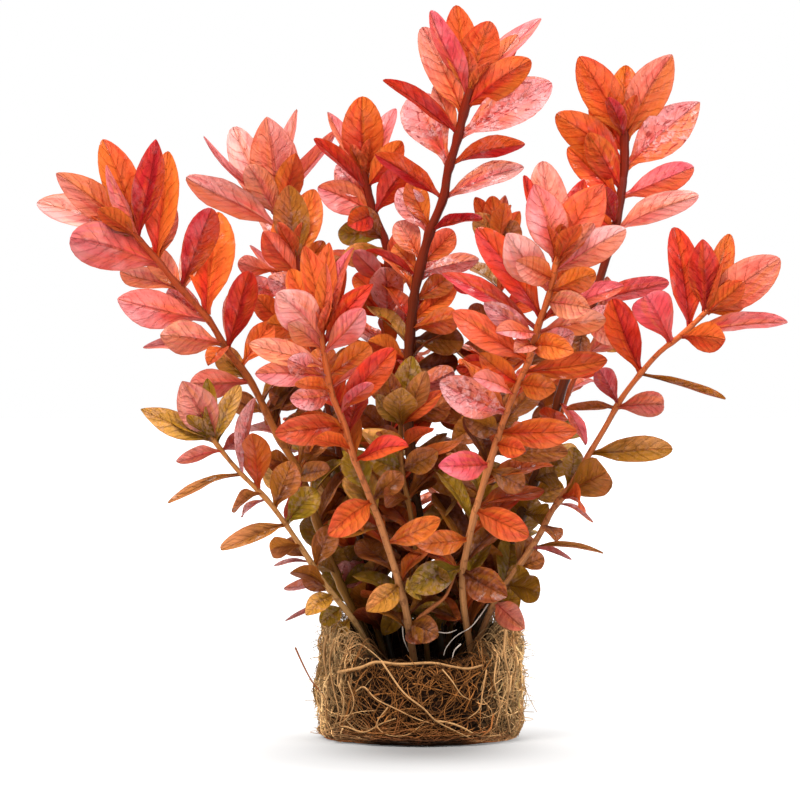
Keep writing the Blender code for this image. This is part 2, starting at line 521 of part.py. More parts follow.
def blade(base, tip, shown_width, stem_along, stations, extra):
    """A thin leaf with a keeled underside as a closed shape, grown by extra on every side."""
    along, side, upper, width = leaf_frame(base, tip, shown_width, stem_along)
    length = (tip - base).length
    thick = LEAF_THICKNESS / 2 + extra
    points = []
    faces = []
    for t, share in stations:
        half = width / 2 * share
        middle = base.lerp(tip, t) + upper * (LEAF_ARCH * length * 4 * t * (1 - t))
        lip = half + extra * 2
        points.append(middle + side * lip + upper * thick * LEAF_EDGE)
        points.append(middle - upper * (thick + LEAF_KEEL * half))
        points.append(middle - side * lip + upper * thick * LEAF_EDGE)
    rings = len(stations)
    for ring in range(rings - 1):
        for corner in range(3):
            a = ring * 3 + corner
            b = ring * 3 + (corner + 1) % 3
            faces.append((a, b, b + 3, a + 3))
    points.append(tip + along * extra)
    last = (rings - 1) * 3
    for corner in range(3):
        faces.append((last + corner, last + (corner + 1) % 3, rings * 3))
    faces.append((2, 1, 0))
    return points, faces


def tree_of(points, faces):
    return BVHTree.FromPolygons([tuple(point) for point in points], faces)


def box_of(points):
    low = [min(point[i] for point in points) for i in range(3)]
    high = [max(point[i] for point in points) for i in range(3)]
    return low, high


def apart(one, other):
    return any(one[0][i] > other[1][i] or other[0][i] > one[1][i] for i in range(3))


class Placed:
    """Everything placed so far, by node, with a quick test for touching."""

    def __init__(self):
        self.pieces = []

    def add(self, node, points, faces):
        self.pieces.append((node, tree_of(points, faces), box_of(points)))

    def touches(self, node, points, faces):
        box = box_of(points)
        tree = None
        for owner, other, other_box in self.pieces:
            if owner == node or apart(box, other_box):
                continue
            tree = tree or tree_of(points, faces)
            if tree.overlap(other):
                return owner
        return None


def mesh_object(name, points, faces, smooth):
    mesh = bpy.data.meshes.new(name)
    mesh.from_pydata([tuple(point * MM) for point in points], [], faces)
    mesh.validate()
    mesh.update()
    for face in mesh.polygons:
        face.use_smooth = smooth
    thing = bpy.data.objects.new(name, mesh)
    bpy.context.collection.objects.link(thing)
    return thing


def joined(name, shapes):
    """One closed solid from closed shapes that overlap."""
    whole = mesh_object(name, *shapes[0], True)
    for points, faces in shapes[1:]:
        part = mesh_object("part", points, faces, False)
        union = whole.modifiers.new("union", "BOOLEAN")
        union.operation = "UNION"
        # EXACT leaves some of these thin blades loose
        union.solver = "MANIFOLD"
        union.object = part
        bpy.context.view_layer.update()
        result = bpy.data.meshes.new_from_object(whole.evaluated_get(bpy.context.evaluated_depsgraph_get()))
        whole.modifiers.clear()
        old = whole.data
        whole.data = result
        bpy.data.meshes.remove(old)
        old = part.data
        bpy.data.objects.remove(part, do_unlink=True)
        bpy.data.meshes.remove(old)
    whole.data.name = name
    return whole


def paint(thing, tint, roughness):
    material = bpy.data.materials.new(thing.name)
    material.use_nodes = True
    shader = material.node_tree.nodes["Principled BSDF"]
    shader.inputs["Base Color"].default_value = (*tint, 1)
    shader.inputs["Roughness"].default_value = roughness
    shader.inputs["Metallic"].default_value = 0
    thing.data.materials.clear()
    thing.data.materials.append(material)


def rim_height(turn):
    """The plug's rim stands high at its sides and back, and lies low at the front."""
    front = max(0.0, -math.sin(turn))
    return PLUG_RIM_SIDE + (PLUG_RIM_FRONT - PLUG_RIM_SIDE) * front ** RIM_FALL


def root_plug():
    """A lumpy round plug with a flat underside and a dished top."""
    rng = random.Random(PLUG_SEED)
    rim = [rng.uniform(-PLUG_LUMP, PLUG_LUMP) for _ in range(PLUG_SIDES)]
    points = []
    faces = []
    for share, rise in PLUG_PROFILE:
        for corner in range(PLUG_SIDES):
            turn = 2 * math.pi * corner / PLUG_SIDES
            radius = PLUG_RADIUS * share + rng.uniform(-PLUG_LUMP, PLUG_LUMP)
            height = (rim_height(turn) + rim[corner]) * rise
            points.append(Vector((radius * math.cos(turn), radius * math.sin(turn), height)))
    for corner in range(PLUG_SIDES):
        turn = 2 * math.pi * corner / PLUG_SIDES
        points.append(Vector((PLUG_DISH_RADIUS * math.cos(turn), PLUG_DISH_RADIUS * math.sin(turn),
                              PLUG_DISH_FLOOR)))
    rings = len(PLUG_PROFILE) + 1
    for ring in range(rings - 1):
        for corner in range(PLUG_SIDES):
            a = ring * PLUG_SIDES + corner
            b = ring * PLUG_SIDES + (corner + 1) % PLUG_SIDES
            faces.append((a, b, b + PLUG_SIDES, a + PLUG_SIDES))
    faces.append(tuple(range(PLUG_SIDES))[::-1])
    faces.append(tuple(range((rings - 1) * PLUG_SIDES, rings * PLUG_SIDES)))
    return points, faces


def nearest_on(axis, across, up):
    """The stretch of the stem's middle line that shows nearest to this front-view point."""
    best = None
    for index, (point, _) in enumerate(axis):
        spread = (VIEW_DISTANCE + point.y) / VIEW_DISTANCE
        shown_across = point.x / spread
        shown_up = VIEW_HEIGHT + (point.z - VIEW_HEIGHT) / spread
        far = math.hypot(shown_across - across, shown_up - up)
        if best is None or far < best[0]:
            best = (far, index)
    index = max(2, min(best[1], len(axis) - 3))
    point, radius = axis[index]
    along = (axis[min(index + 1, len(axis) - 1)][0] - axis[max(index - 1, 0)][0]).normalized()
    return point, radius, along, best[0]


def build():
    clear_scene()
    placed = Placed()
    shapes = {}
    tints = {}
    plug = root_plug()
    placed.add("root_ball", *plug)
    axes = {}
    for name, row in STEMS.items():
        axis = stem_axis(name)
        axis = [(point, radius) for point, radius in axis if point.z > PLUG_DISH_FLOOR + STEM_FOOT_GAP]
        split = min(range(len(axis)), key=lambda i: abs(axis[i][0].z - seen(0, row[4], axis[i][0].y).z))
        lower = spaced(axis[:split], STEM_STEP)
        upper = spaced(axis[split + 1:], STEM_STEP)
        axes[name] = (straightened(lower), straightened(upper))
        for node, part in ((f"stem_{name}", lower), (f"crown_{name}", upper)):
            shape = tube(part, node.startswith("crown"))
            owner = placed.touches(node, *shape)
            if owner:
                raise RuntimeError(f"{node} meets {owner}")
            placed.add(node, *shape)
            shapes[node] = [shape]
            tints[node] = row[5]
    for name, rows in LEAVES.items():
        number = 0
        for kind, x0, z0, x1, z1, width, lean, tint in rows:
            lower, upper = axes[name]
            choices = {"crown": (upper,), "stem": (lower,), "leaf": (lower, upper)}[kind]
            spots = [nearest_on(axis, x0, z0) for axis in choices]
            base, radius, stem_along, _ = min(spots, key=lambda spot: spot[3])
            if kind == "leaf":
                number += 1
                node = f"leaf_{name}_{number}"
            else:
                node = f"{kind}_{name}"
            stations = SMALL_STATIONS if kind == "stem" or width < SMALL_LEAF_WIDTH else BROAD_STATIONS
            if kind == "stem":
                lean = full_lean(lean, x1 - x0, z1 - z0, SMALL_LEAF_LENGTH)
            elif kind == "leaf":
                lean = full_lean(lean, x1 - x0, z1 - z0, BROAD_LEAF_LENGTH)
            for change in DEPTH_TRIES:
                tip = seen(x1, z1, base.y + lean + change)
                start = base
                if kind == "leaf":
                    aside = math.copysign(radius + GAP + LEAF_FOOT, lean)
                    start = base + (tip - base).normalized() * radius + Vector((0, aside, 0))
                grown = blade(start, tip, width, stem_along, stations, GAP)
                owner = placed.touches(node, *grown)
                if not owner:
                    break
            if owner:
                raise RuntimeError(f"no room on {node} for the leaf at {x1}, {z1}: it meets {owner}")
            shape = blade(start, tip, width, stem_along, stations, 0)
            placed.add(node, *shape)
            shapes.setdefault(node, []).append(shape)
            tints[node] = tint
    plug_object = mesh_object("root_ball", *plug, True)
    paint(plug_object, PLUG_COLOUR, PLUG_ROUGHNESS)
    for node, parts in shapes.items():
        thing = joined(node, parts)
        paint(thing, TINTS[tints[node]], LEAF_ROUGHNESS)


build()
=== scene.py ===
"""The looks of a red rotala clump: leafy shoots with their crowns, growing from a ball of matted roots.

Lengths are millimetres and colours are linear, apart from the settings, which are in metres.
Stems and leaves are laid out as they show from the front at the viewing distance, and each leaf takes its
depth from the tip of its own packed blade. The ball of roots stands on its flat underside at the origin.
"""

import math
import random

import bpy
import numpy as np
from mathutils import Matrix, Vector, noise


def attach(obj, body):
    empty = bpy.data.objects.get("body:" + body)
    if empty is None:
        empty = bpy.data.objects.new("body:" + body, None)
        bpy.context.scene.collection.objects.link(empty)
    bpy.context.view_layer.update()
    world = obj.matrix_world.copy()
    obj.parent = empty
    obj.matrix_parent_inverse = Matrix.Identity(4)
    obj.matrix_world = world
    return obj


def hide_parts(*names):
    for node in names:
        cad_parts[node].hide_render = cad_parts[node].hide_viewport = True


bl_info = {
    "name": "Red rotala",
    "version": (1, 0, 0),
    "blender": (4, 5, 0),
    "location": "3D View > Sidebar > Rotala",
    "description": "Leafy stems and a ball of roots around the packed clump",
    "category": "Add Mesh",
}

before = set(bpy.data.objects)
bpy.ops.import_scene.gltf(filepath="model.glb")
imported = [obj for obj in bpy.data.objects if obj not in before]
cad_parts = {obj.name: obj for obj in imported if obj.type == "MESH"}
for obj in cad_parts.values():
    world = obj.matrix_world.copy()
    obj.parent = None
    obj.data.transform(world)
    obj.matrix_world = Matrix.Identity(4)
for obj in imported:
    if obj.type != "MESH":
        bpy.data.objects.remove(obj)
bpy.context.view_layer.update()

BODY = "root"
MM = 0.001
FULL_TURN = 2 * math.pi
SHARP_ANGLE = math.radians(60.0)

# Lengths of a direction's part below which another one is taken instead
NEARLY_LEVEL = 0.1
NEARLY_NOTHING = 0.05

# How the clump is seen, which turns the front-view points into places
VIEW_DISTANCE = 950.0
VIEW_HEIGHT = 92.0
SENSOR = 36.0
FRAME_WIDTH = 200.0
SHIFT_ACROSS = -0.025
SHIFT_UP = -0.03875
CAMERA_CLIP = (0.05, 20.0)

# Ball of roots, as packed
PLUG_RADIUS = 25.0
PLUG_RIM_SIDE = 28.0
PLUG_RIM_FRONT = 19.5
PLUG_DISH_FLOOR = 17.0
PLUG_DISH_RADIUS = 17.6
PLUG_PROFILE = ((0.93, 0.0), (0.99, 0.08), (1.0, 0.35), (1.0, 0.68), (0.97, 0.92), (0.90, 1.0))

# Each tint of leaf: which of the leaf finishes it takes, how much painted pink reflection lies on it, and how
# worn it is, which also sets its specks of painted wet sheen
LEAF_KINDS = {
    "red": (0, 0.25, 0.0),
    "crimson": (0, 0.30, 0.1),
    "coral": (1, 0.35, 0.0),
    "orange": (1, 0.10, 0.0),
    "salmon": (1, 0.35, 0.0),
    "pink": (2, 0.60, 0.0),
    "rose": (0, 0.55, 0.15),
    "pale": (2, 0.60, 0.0),
    "peach": (2, 0.40, 0.05),
    "amber": (1, 0.10, 0.1),
    "gold": (3, 0.05, 0.25),
    "olive": (3, 0.05, 0.3),
    "brown": (4, 0.25, 0.2),
    "dark": (4, 0.05, 0.1),
    "mauve": (2, 0.70, 1.0),
    "magenta": (2, 0.45, 0.0),
    "flame": (1, 0.15, 0.0),
    "spotted": (2, 0.55, 1.0),
    "honey": (3, 0.30, 0.1),
    "dusky": (2, 0.45, 0.0),
    "tan": (4, 0.40, 0.0),
}

# Tints as linear colours: at the foot of the blade and at its tip
LEAF_TINTS = {
    "red": ((0.51, 0.028, 0.007), (0.69, 0.044, 0.019)),
    "crimson": ((0.36, 0.011, 0.006), (0.57, 0.020, 0.034)),
    "coral": ((0.69, 0.101, 0.015), (0.76, 0.126, 0.061)),
    "orange": ((0.60, 0.118, 0.014), (0.67, 0.116, 0.032)),
    "salmon": ((0.73, 0.170, 0.035), (0.78, 0.317, 0.255)),
    "pink": ((0.78, 0.132, 0.037), (0.78, 0.224, 0.245)),
    "rose": ((0.50, 0.057, 0.032), (0.66, 0.115, 0.142)),
    "pale": ((0.86, 0.286, 0.145), (0.91, 0.552, 0.494)),
    "peach": ((0.68, 0.209, 0.045), (0.77, 0.333, 0.198)),
    "amber": ((0.50, 0.140, 0.012), (0.66, 0.165, 0.030)),
    "gold": ((0.48, 0.240, 0.020), (0.74, 0.350, 0.090)),
    "olive": ((0.21, 0.150, 0.008), (0.37, 0.215, 0.018)),
    "brown": ((0.33, 0.108, 0.014), (0.47, 0.145, 0.042)),
    "dark": ((0.10, 0.026, 0.005), (0.20, 0.044, 0.012)),
    "mauve": ((0.37, 0.115, 0.072), (0.58, 0.285, 0.250)),
    "magenta": ((0.59, 0.022, 0.009), (0.72, 0.110, 0.168)),
    "flame": ((0.58, 0.013, 0.008), (0.75, 0.154, 0.025)),
    "spotted": ((0.63, 0.098, 0.016), (0.80, 0.322, 0.338)),
    "honey": ((0.64, 0.237, 0.028), (0.73, 0.264, 0.084)),
    "dusky": ((0.58, 0.170, 0.075), (0.66, 0.270, 0.210)),
    "tan": ((0.42, 0.175, 0.034), (0.55, 0.225, 0.085)),
}

# Stem colours for each tint, at the foot and at the tip
STEM_TINTS = {
    "peach": ((0.42, 0.185, 0.068), (0.48, 0.098, 0.024)),
    "gold": ((0.40, 0.215, 0.075), (0.38, 0.140, 0.034)),
    "amber": ((0.26, 0.120, 0.022), (0.28, 0.036, 0.008)),
    "olive": ((0.16, 0.075, 0.020), (0.26, 0.100, 0.020)),
    "brown": ((0.038, 0.020, 0.005), (0.135, 0.009, 0.002)),
}

# Blades: how wide they are, the outline, how they fold, bend and twist, their ripples, their groove above and
# rib below the middle, and how their tint runs from foot to tip
LEAF_SLENDERNESS = 0.34
LEAF_FULLER = 1.09
LEAF_WIDEST = 1.10
OLD_LEAF_WIDEST = (1.12, 1.42)
EDGE_ON = (0.10, 0.75)
LEAF_NECK = 0.20
LEAF_WAIST = 0.52
LEAF_CURL = 0.10
LEAF_GROOVE = 0.10
LEAF_UNDERSIDE = 0.20
LEAF_FOLDS = (0.7, 1.5)
LEAF_BEND = (-0.012, 0.03)
LEAF_TWIST = 0.28
LEAF_TWIST_MIDDLE = 0.4
LEAF_SWAY = 0.03
# How much the painted pink reflection varies from leaf to leaf
LEAF_REFLECTIONS = (0.6, 1.25)
LEAF_LIFT = 1.15
RIPPLE_TURNS = (1.0, 2.4)
RIPPLE_OFFSET = 1.9
GROOVE_WIDTH = 0.15
GROOVE_FADES = 0.6
RIB_WIDTH = 0.13
RIB_FADES = 0.85
FULL_WIDTH_AT = 0.32
TINT_EDGES = 0.18
TINT_RUN = (0.05, 0.9)
LEAF_RINGS = 13
LEAF_COLUMNS = (-1.0, -0.84, -0.54, -0.22, 0.0, 0.22, 0.54, 0.84, 1.0)

# How young and old leaves vary: how light they are, how far they arch and ripple, and how blunt they are
YOUNG_LEAF = {"light": (0.88, 1.12), "arch": (-0.02, 0.05), "ripple": (0.02, 0.08), "blunt": (0.50, 0.84)}
OLD_LEAF = {"light": (0.58, 1.46), "arch": (0.02, 0.09), "ripple": (0.05, 0.14), "blunt": (0.46, 0.74)}

# Leaves that fill the middle: the edges of the dense part of the clump as (left, up, right),
# and their tints below each height
INNER_LEAF_WIDTH = 0.45
INNER_LEAF_LENGTH = (15.0, 21.0)
INNER_CLEAR = 4
INNER_SPACING = (3, 5)
INNER_FIRST = (4, 10)
INNER_LAST = 4
INNER_TURN = 0.3
INNER_PITCH = (0.85, 1.35)
INNER_BACKWARD = 0.35
INNER_EDGES = ((-13, 25, 15), (-24, 42, 25), (-34, 60, 34), (-42, 80, 38), (-42, 98, 38), (-34, 112, 26),
               (-28, 122, 14))
INNER_TINTS = (
    (48, ("brown", "olive", "dark", "amber", "olive", "dark", "brown", "gold")),
    (70, ("brown", "amber", "dark", "olive", "brown", "amber", "gold")),
    (95, ("amber", "brown", "red", "brown", "orange", "dark", "flame", "amber")),
    (200, ("orange", "flame", "amber", "coral", "spotted", "red", "honey")),
)
FRONT_STEMS = ("front_left", "front_right", "low_left", "right", "far_left", "small_centre")

# Buds: the small leaves at a shoot's tip, from the innermost to the outermost
BUD_LEAVES = 8
BUD_LENGTH = (6.0, 12.0)
BUD_LENGTH_SPREAD = (0.85, 1.15)
BUD_LEAN = (0.10, 0.62)
BUD_OPENS_LATE = 1.5
BUD_SUNK = 1.2
BUD_ASIDE = 0.2
BUD_RUN = 6

# Stems: their tube and its painted lit side, the part that goes down into the roots, the painted shade at
# their foot, and the swollen joints
STEM_SIDES = 10
STEM_STRIDE = 2
STEM_PAINTED_LIT_SIDE = 0.40
STEM_ROOTED = 5.0
STEM_ROOTED_RUN = 4
STEM_FOOT_SHADE = 0.35
STEM_SHADED = (20.0, 34.0)
STEM_SLIM = 0.88
STEM_TINT_RUN = (0.1, 0.95)
STEM_END = 2
JOINT_SWELL = 0.24
JOINT_LENGTH = 1.1
LEAF_START = 0.5

# Leaf finishes: the light that comes through the blade, the tint of the painted pink reflection that lies on
# it, the tints of its warmer and deeper patches, and how wet it shines
LEAF_FAMILIES = (
    ("red leaf", (0.74, 0.04, 0.015), (0.82, 0.17, 0.19), (0.64, 0.12, 0.01), (0.32, 0.006, 0.012), 0.8),
    ("orange leaf", (0.86, 0.15, 0.04), (0.9, 0.3, 0.22), (0.72, 0.195, 0.022), (0.55, 0.026, 0.012), 0.6),
    ("pink leaf", (0.9, 0.23, 0.15), (0.94, 0.5, 0.5), (0.84, 0.23, 0.045), (0.72, 0.07, 0.08), 0.8),
    ("olive leaf", (0.46, 0.29, 0.018), (0.66, 0.36, 0.1), (0.52, 0.23, 0.014), (0.16, 0.062, 0.004), 0.5),
    ("brown leaf", (0.5, 0.13, 0.015), (0.56, 0.18, 0.07), (0.48, 0.18, 0.012), (0.06, 0.014, 0.003), 0.5),
)
MIDRIB_TINT = (0.55, 0.26, 0.24)
RIM_TINT = (0.40, 0.120, 0.035)
DASH_TINT = (0.22, 0.012, 0.014)
# SHEEN_TINT: the pale pink of the wet sheen painted on old leaves
SHEEN_TINT = (0.92, 0.560, 0.560)
STEM_FLECK_TINT = (0.08, 0.018, 0.006)
STEM_FINISH = len(LEAF_FAMILIES)
MATERIAL_END = "ShaderNodeOutputMaterial"

# Where the parts of a blade lie: the share of its half width, or of its length, over which each one ends
PINK_HALF = (-0.10, 0.10)
MIDRIB_EDGE = (0.012, 0.095)
RIM_EDGE = (0.88, 1.0)
FOOT_END = (0.0, 0.30)
FLUSH_EDGE = (0.06, 0.90)
FLUSH_END = (0.18, 0.95)
VEIN_PAIRS = 7.0
VEIN_SLANT = 1.5
VEIN_WIDTH = 0.13
VEIN_WAVER = 0.5
VEIN_FADES = 0.7

# Grains of a leaf: across it, along it and from leaf to leaf, or to the metre
STREAK_STRETCH = (1.5, 1.6, 40.0)
FIBRE_STRETCH = (8.0, 1.6, 33.0)
DRIFT_STRETCH = (3.2, 1.8, 25.0)
DASH_STRETCH = (7.0, 9.0, 60.0)
BLOTCH_GRAIN = 170.0
FINE_GRAIN = 900.0
RIPPLE_GRAIN = 340.0

# The values of a grain between which each pattern sets in
STREAK_SETS_IN = (0.30, 0.70)
FIBRE_SETS_IN = (0.36, 0.60)
WARM_SETS_IN = (0.46, 0.66)
DEEP_SETS_IN = (0.50, 0.32)
DASH_SETS_IN = (0.60, 0.66)
REFLECTION_SETS_IN = (0.34, 0.66)
SHEEN_SETS_IN = ((0.44, 0.60), (0.36, 0.58))
WET_SETS_IN = (0.53, 0.60)

# How strongly each part of a leaf's pattern shows, and on which leaves or parts of them
LEAF_GLOW = 0.34
LEAF_LIGHT = 0.73
STREAK_LIGHT = 0.46
FIBRE_LIGHT = 0.14
VEIN_SHADE = 0.11
WARM_DRIFT = 0.75
DEEP_DRIFT = 0.50
# How much warmer the other half of the fold is painted, on which leaves, and how much less warm the pinker
# half is
WARM_HALF = 0.62
WARM_HALF_CHANCE = (0.25, 0.85)
WARM_PINK_HALF = 0.6
WARM_FADES = 0.45
OTHER_CHANCE = 7.3
REFLECTION_OTHER_HALF = 0.30
REFLECTION_SHOWS = 0.85
FLUSH_SHOWS = 0.72
MIDRIB_SHADE = 0.42
FOOT_SHADE = 0.42
RIM_SHOWS = 0.50
SHEEN_SHOWS = 0.55
DASH_SHOWS = 0.75
WET_SHOWS = 0.55
WET_ROUGHNESS = 0.16

# Gloss of each finish, and the strength and depth in metres of its relief. A leaf's roughness is that of
# its plain parts, then what its blotches and its dashes add
LEAF_GLOSS = 0.07
STEM_GLOSS = 0.10
ROOT_GLOSS = 0.12
CORE_GLOSS = 0.08
FLOOR_GLOSS = 0.1
LEAF_ROUGHNESS = (0.36, 0.26, 0.20)
LEAF_RELIEF = (0.9, 0.0007)
STEM_RELIEF = (0.5, 0.0003)
ROOT_RELIEF = (0.5, 0.0002)
CORE_RELIEF = (0.9, 0.0010)
CORE_GRAIN_STRETCH = (1.0, 1.0, 2.4)
CORE_GRAIN_BEND = 0.012

# The tint of the small leaves at each shoot's tip
CROWN_BUDS = {
    "far_left": "orange", "low_left": "olive", "left_back": "salmon", "mid_left": "orange",
    "front_left": "coral", "centre_back": "orange", "small_centre": "gold", "tall_centre": "orange",
    "mid_right": "amber", "front_right": "orange", "tall_right": "orange", "right_back": "peach",
    "right": "orange",
}

# Floor: the middle of the shadow painted on it, how much wider than deep that patch is, the steps in which
# its painted glow grows away from there (how much each adds, and the distances in metres between which it
# does), and how far it reaches
FLOOR_PAINTED_SHADOW = (0.002, -0.030, 0.0)
FLOOR_STRETCH = (1.35, 1.0, 1.0)
FLOOR_PAINTED_GLOWS = ((0.36, 0.004, 0.045), (0.34, 0.030, 0.095), (0.50, 0.20, 1.30))
FLOOR_REACH = 6.0

# Light from all round, where the lamps point, and the lamps: place, width, power and tint, in metres and
# watts
WHITE = (1, 1, 1, 1)
AMBIENT = 0.50
LIT_PLACE = (0, 0, 0.08)
LIGHTS = (
    ("key", (-0.6, -1.0, 1.7), 1.1, 62.0, (1.0, 0.98, 0.95)),
    ("fill", (1.3, -0.9, 0.7), 1.0, 16.0, (1.0, 1.0, 1.0)),
    ("back", (0.2, 1.1, 1.6), 1.3, 50.0, (1.0, 0.98, 0.96)),
)

# Packed mass behind the roots: its rings, how far it lies inside the wall, and its lumps as (rise, size,
# where the pattern starts)
CORE_SIDES = 168
CORE_ROWS = 34
CORE_TOP_ROWS = 22
CORE_INSET = 1.2
CORE_MIDDLE = 0.5
CORE_DISH_EDGE = 0.55
CORE_LUMPS = ((0.8, 2.6, (0, 0, 0)), (0.5, 1.1, (9, 4, 2)))
CORE_FOOT_LUMPS = 0.3
CORE_FOOT = 0.08
CORE_WALL_LIFT = 0.3
CORE_DISH_LUMP = 1.3
CORE_SIDE = (0.5, 0.9)
CORE_WALL_SIDE_TINT = 0.14
CORE_DISH_SIDE_TINT = 0.05
RIM_FALL = 1.5
WALL_LUMP = 1.7
WALL_LUMP_SIZE = 5.5

# Every root: the sides of its tube, how it steps, bends and weaves, and how it thins and darkens to its end
FIBRE_SIDES = 3
BAND_SIDES = 4
STRAY_SIDES = 6
RUNNER_SIDES = 8
ROOT_STEP = 1.3
ROOT_FEWEST_STEPS = 4
LONG_ROOT_STEP = 0.8
ROOT_BEND_KEPT = 0.86
ROOT_BEND_NEW = 0.45
ROOT_BELOW_RIM = 0.3
ROOT_REBOUND = 0.3
ROOT_WEAVE = 0.35
ROOT_WEAVE_TURN = 0.9
ROOT_FLOOR = 0.3
ROOT_TAPER = 0.35
ROOT_END_LIGHT = 0.72
RUNNER_TAPER = 0.6
STRAY_TAPER = 0.5
RUNNER_BROWN = 0.35

# A long root on the front: how often its depth is worked out, and the least square of a depth there
FRONT_TRIES = 4
FRONT_NEAREST = (1.0, 4.0)

# Where the random numbers of each group of roots start
NET_SEED, BAND_SEED, FUZZ_SEED, TOP_SEED, LONG_SEED = range(11, 16)

# Colours of the roots: where the plug's side begins, how much its back is like it, how far the foot's mat
# reaches, how a root's light varies (least, spread, power), and the shade under the front
ROOT_SIDE = (0.60, 0.92)
ROOT_BACK_SIDE = 0.6
ROOT_MAT_HEIGHT = (0.5, 4.5)
ROOT_MAT_TINT = 0.65
ROOT_LIGHT = (0.36, 1.15, 1.5)
FRONT_FOOT = (0.8, 3.6)
FRONT_FOOT_WIDTH = (9.0, 17.0)
FRONT_FOOT_SHADE = 0.9

# How the net's roots lie on the plug: their heading and its spread, lengths, thicknesses, how far out they
# are, and how fast they turn
SIDE_NET = (math.pi / 2, 0.42, (8, 26), (0.24, 0.32, 0.42, 0.52, 0.66), (-1.0, 1.0), 0.16)
FRONT_NET = (0.0, 1.0, (8, 30), (0.15, 0.20, 0.25, 0.30, 0.40), (-0.9, 0.4), 0.30)
SIDE_TURN = 0.72
FRONT_TURN = -0.7
FRONT_BARE = 0.15

# Mat round the plug's foot
BAND_HEIGHT = 1.4
BAND_SLOPE = 0.12
BAND_LENGTH = (12, 34)
BAND_OUT = (-0.2, 0.9)
BAND_THICK = (0.16, 0.4)
BAND_RESTLESS = 0.05

# Short curled roots that stand off the plug: how many the front keeps, how far they reach and rise, and
# how thick they are
FUZZ_LOWNESS = 0.7
FUZZ_SIDE = (0.5, 0.85)
FUZZ_BACK_SIDE = 0.7
FUZZ_AT_FRONT = 0.25
FUZZ_REACH = (0.3, 1.4)
FUZZ_LONG_REACH = (3.4, 6)
FUZZ_RUN = (-3.0, 3.0)
FUZZ_RISE = (-3.0, 3.6)
FUZZ_LOW_RISE = (0.2, 2.5)
FUZZ_LOW = 3
FUZZ_CURL = (0.1, 1.2)
FUZZ_BOW = (0.5, 0.6)
FUZZ_SUNK = 0.6
FUZZ_STEP = 0.9
FUZZ_THICK = (0.18, 0.36)

# Roots over the rim and in the dish, which darken to painted shade toward their ends
TOP_SIDE = 0.62
TOP_BARE = 0.3
TOP_SIDE_ARCH = (0.3, 3.6)
TOP_FRONT_ARCH = (0.1, 0.8)
TOP_START = (0.8, 0.97)
TOP_OUT = 0.2
TOP_CREST = (0.8, 0.96)
TOP_SWEEP = 0.16
TOP_INNER_SWEEP = 0.25
TOP_INNER = (0.45, 0.78)
TOP_INNER_HEIGHT = (-0.5, 3.0)
TOP_STEP = 1.2
TOP_TINT = (0.1, 0.7)
TOP_THICK = (0.16, 0.34)
TOP_END_PAINTED_SHADE = 0.10
DISH_RUN = (3, 9)
DISH_ARCH = (0.3, 2.2)
DISH_TINT = (0.0, 0.6)
DISH_THICK = (0.14, 0.28)
DISH_LIFT = 0.3

# Long roots over the plug's front: thickness, how far out they lie, and where they show
FRONT_ROOTS = {
    "cross": (0.85, 1.3, ((-20.5, 16.2), (-15, 17.3), (-11, 18.7), (-5, 18.2), (3, 18.5), (8, 17.6),
                          (12, 17.1), (15.5, 17.9))),
    "diagonal": (0.5, 1.7, ((-9.6, 19), (-8, 16.5), (-4, 11), (1, 7), (4, 4), (9, 1.4), (14, -1))),
    "slant": (0.42, 1.2, ((-16, 11.4), (-14, 12.5), (-11, 9.5), (-6, 7), (-1, 4.6), (3.4, 3.2))),
    "loop": (0.32, 1.3, ((-8, 7.5), (-10.8, 3.2), (-8, 0.5), (-3, 0.6), (1, 3.5))),
    "right_drop": (0.4, 1.0, ((16.6, 16.8), (15.6, 11), (14.8, 7), (12, 4.6))),
    "right_thread": (0.35, 1.0, ((5.5, 17), (8, 14), (10.3, 10.6), (12.6, 9.2))),
    "low_left": (0.55, 0.9, ((-24, 1.5), (-19, 2.6), (-14, 1.2), (-9.5, 3.4), (-6, 4.6))),
    "low_right": (0.55, 1.1, ((3.5, 4), (7, 3.6), (10.5, 2.4), (15, 0.2), (20, 0.5))),
    "left_arc": (0.4, 1.1, ((-18, 14), (-16.5, 8.6), (-18.5, 4.4), (-22, 3))),
    "left_strand": (0.6, 1.0, ((-23.4, 25.5), (-24, 20), (-23, 13), (-23.6, 6), (-22.6, 1))),
    "left_strand_2": (0.5, 1.2, ((-21.4, 24.5), (-22.6, 19), (-21.6, 12), (-20.4, 6.5), (-21.5, 2))),
    "left_strand_3": (0.45, 1.1, ((-19.2, 20), (-20.6, 14), (-19, 9), (-20, 3))),
    "right_strand": (0.6, 1.1, ((21.4, 27), (21.1, 21), (22.4, 14), (21.6, 7), (22.6, 1))),
    "right_strand_2": (0.5, 0.9, ((23.2, 24.5), (24, 18), (23.2, 11), (23.8, 4))),
    "right_strand_3": (0.45, 1.2, ((19.4, 21), (18.6, 14), (20, 8), (19, 3))),
}

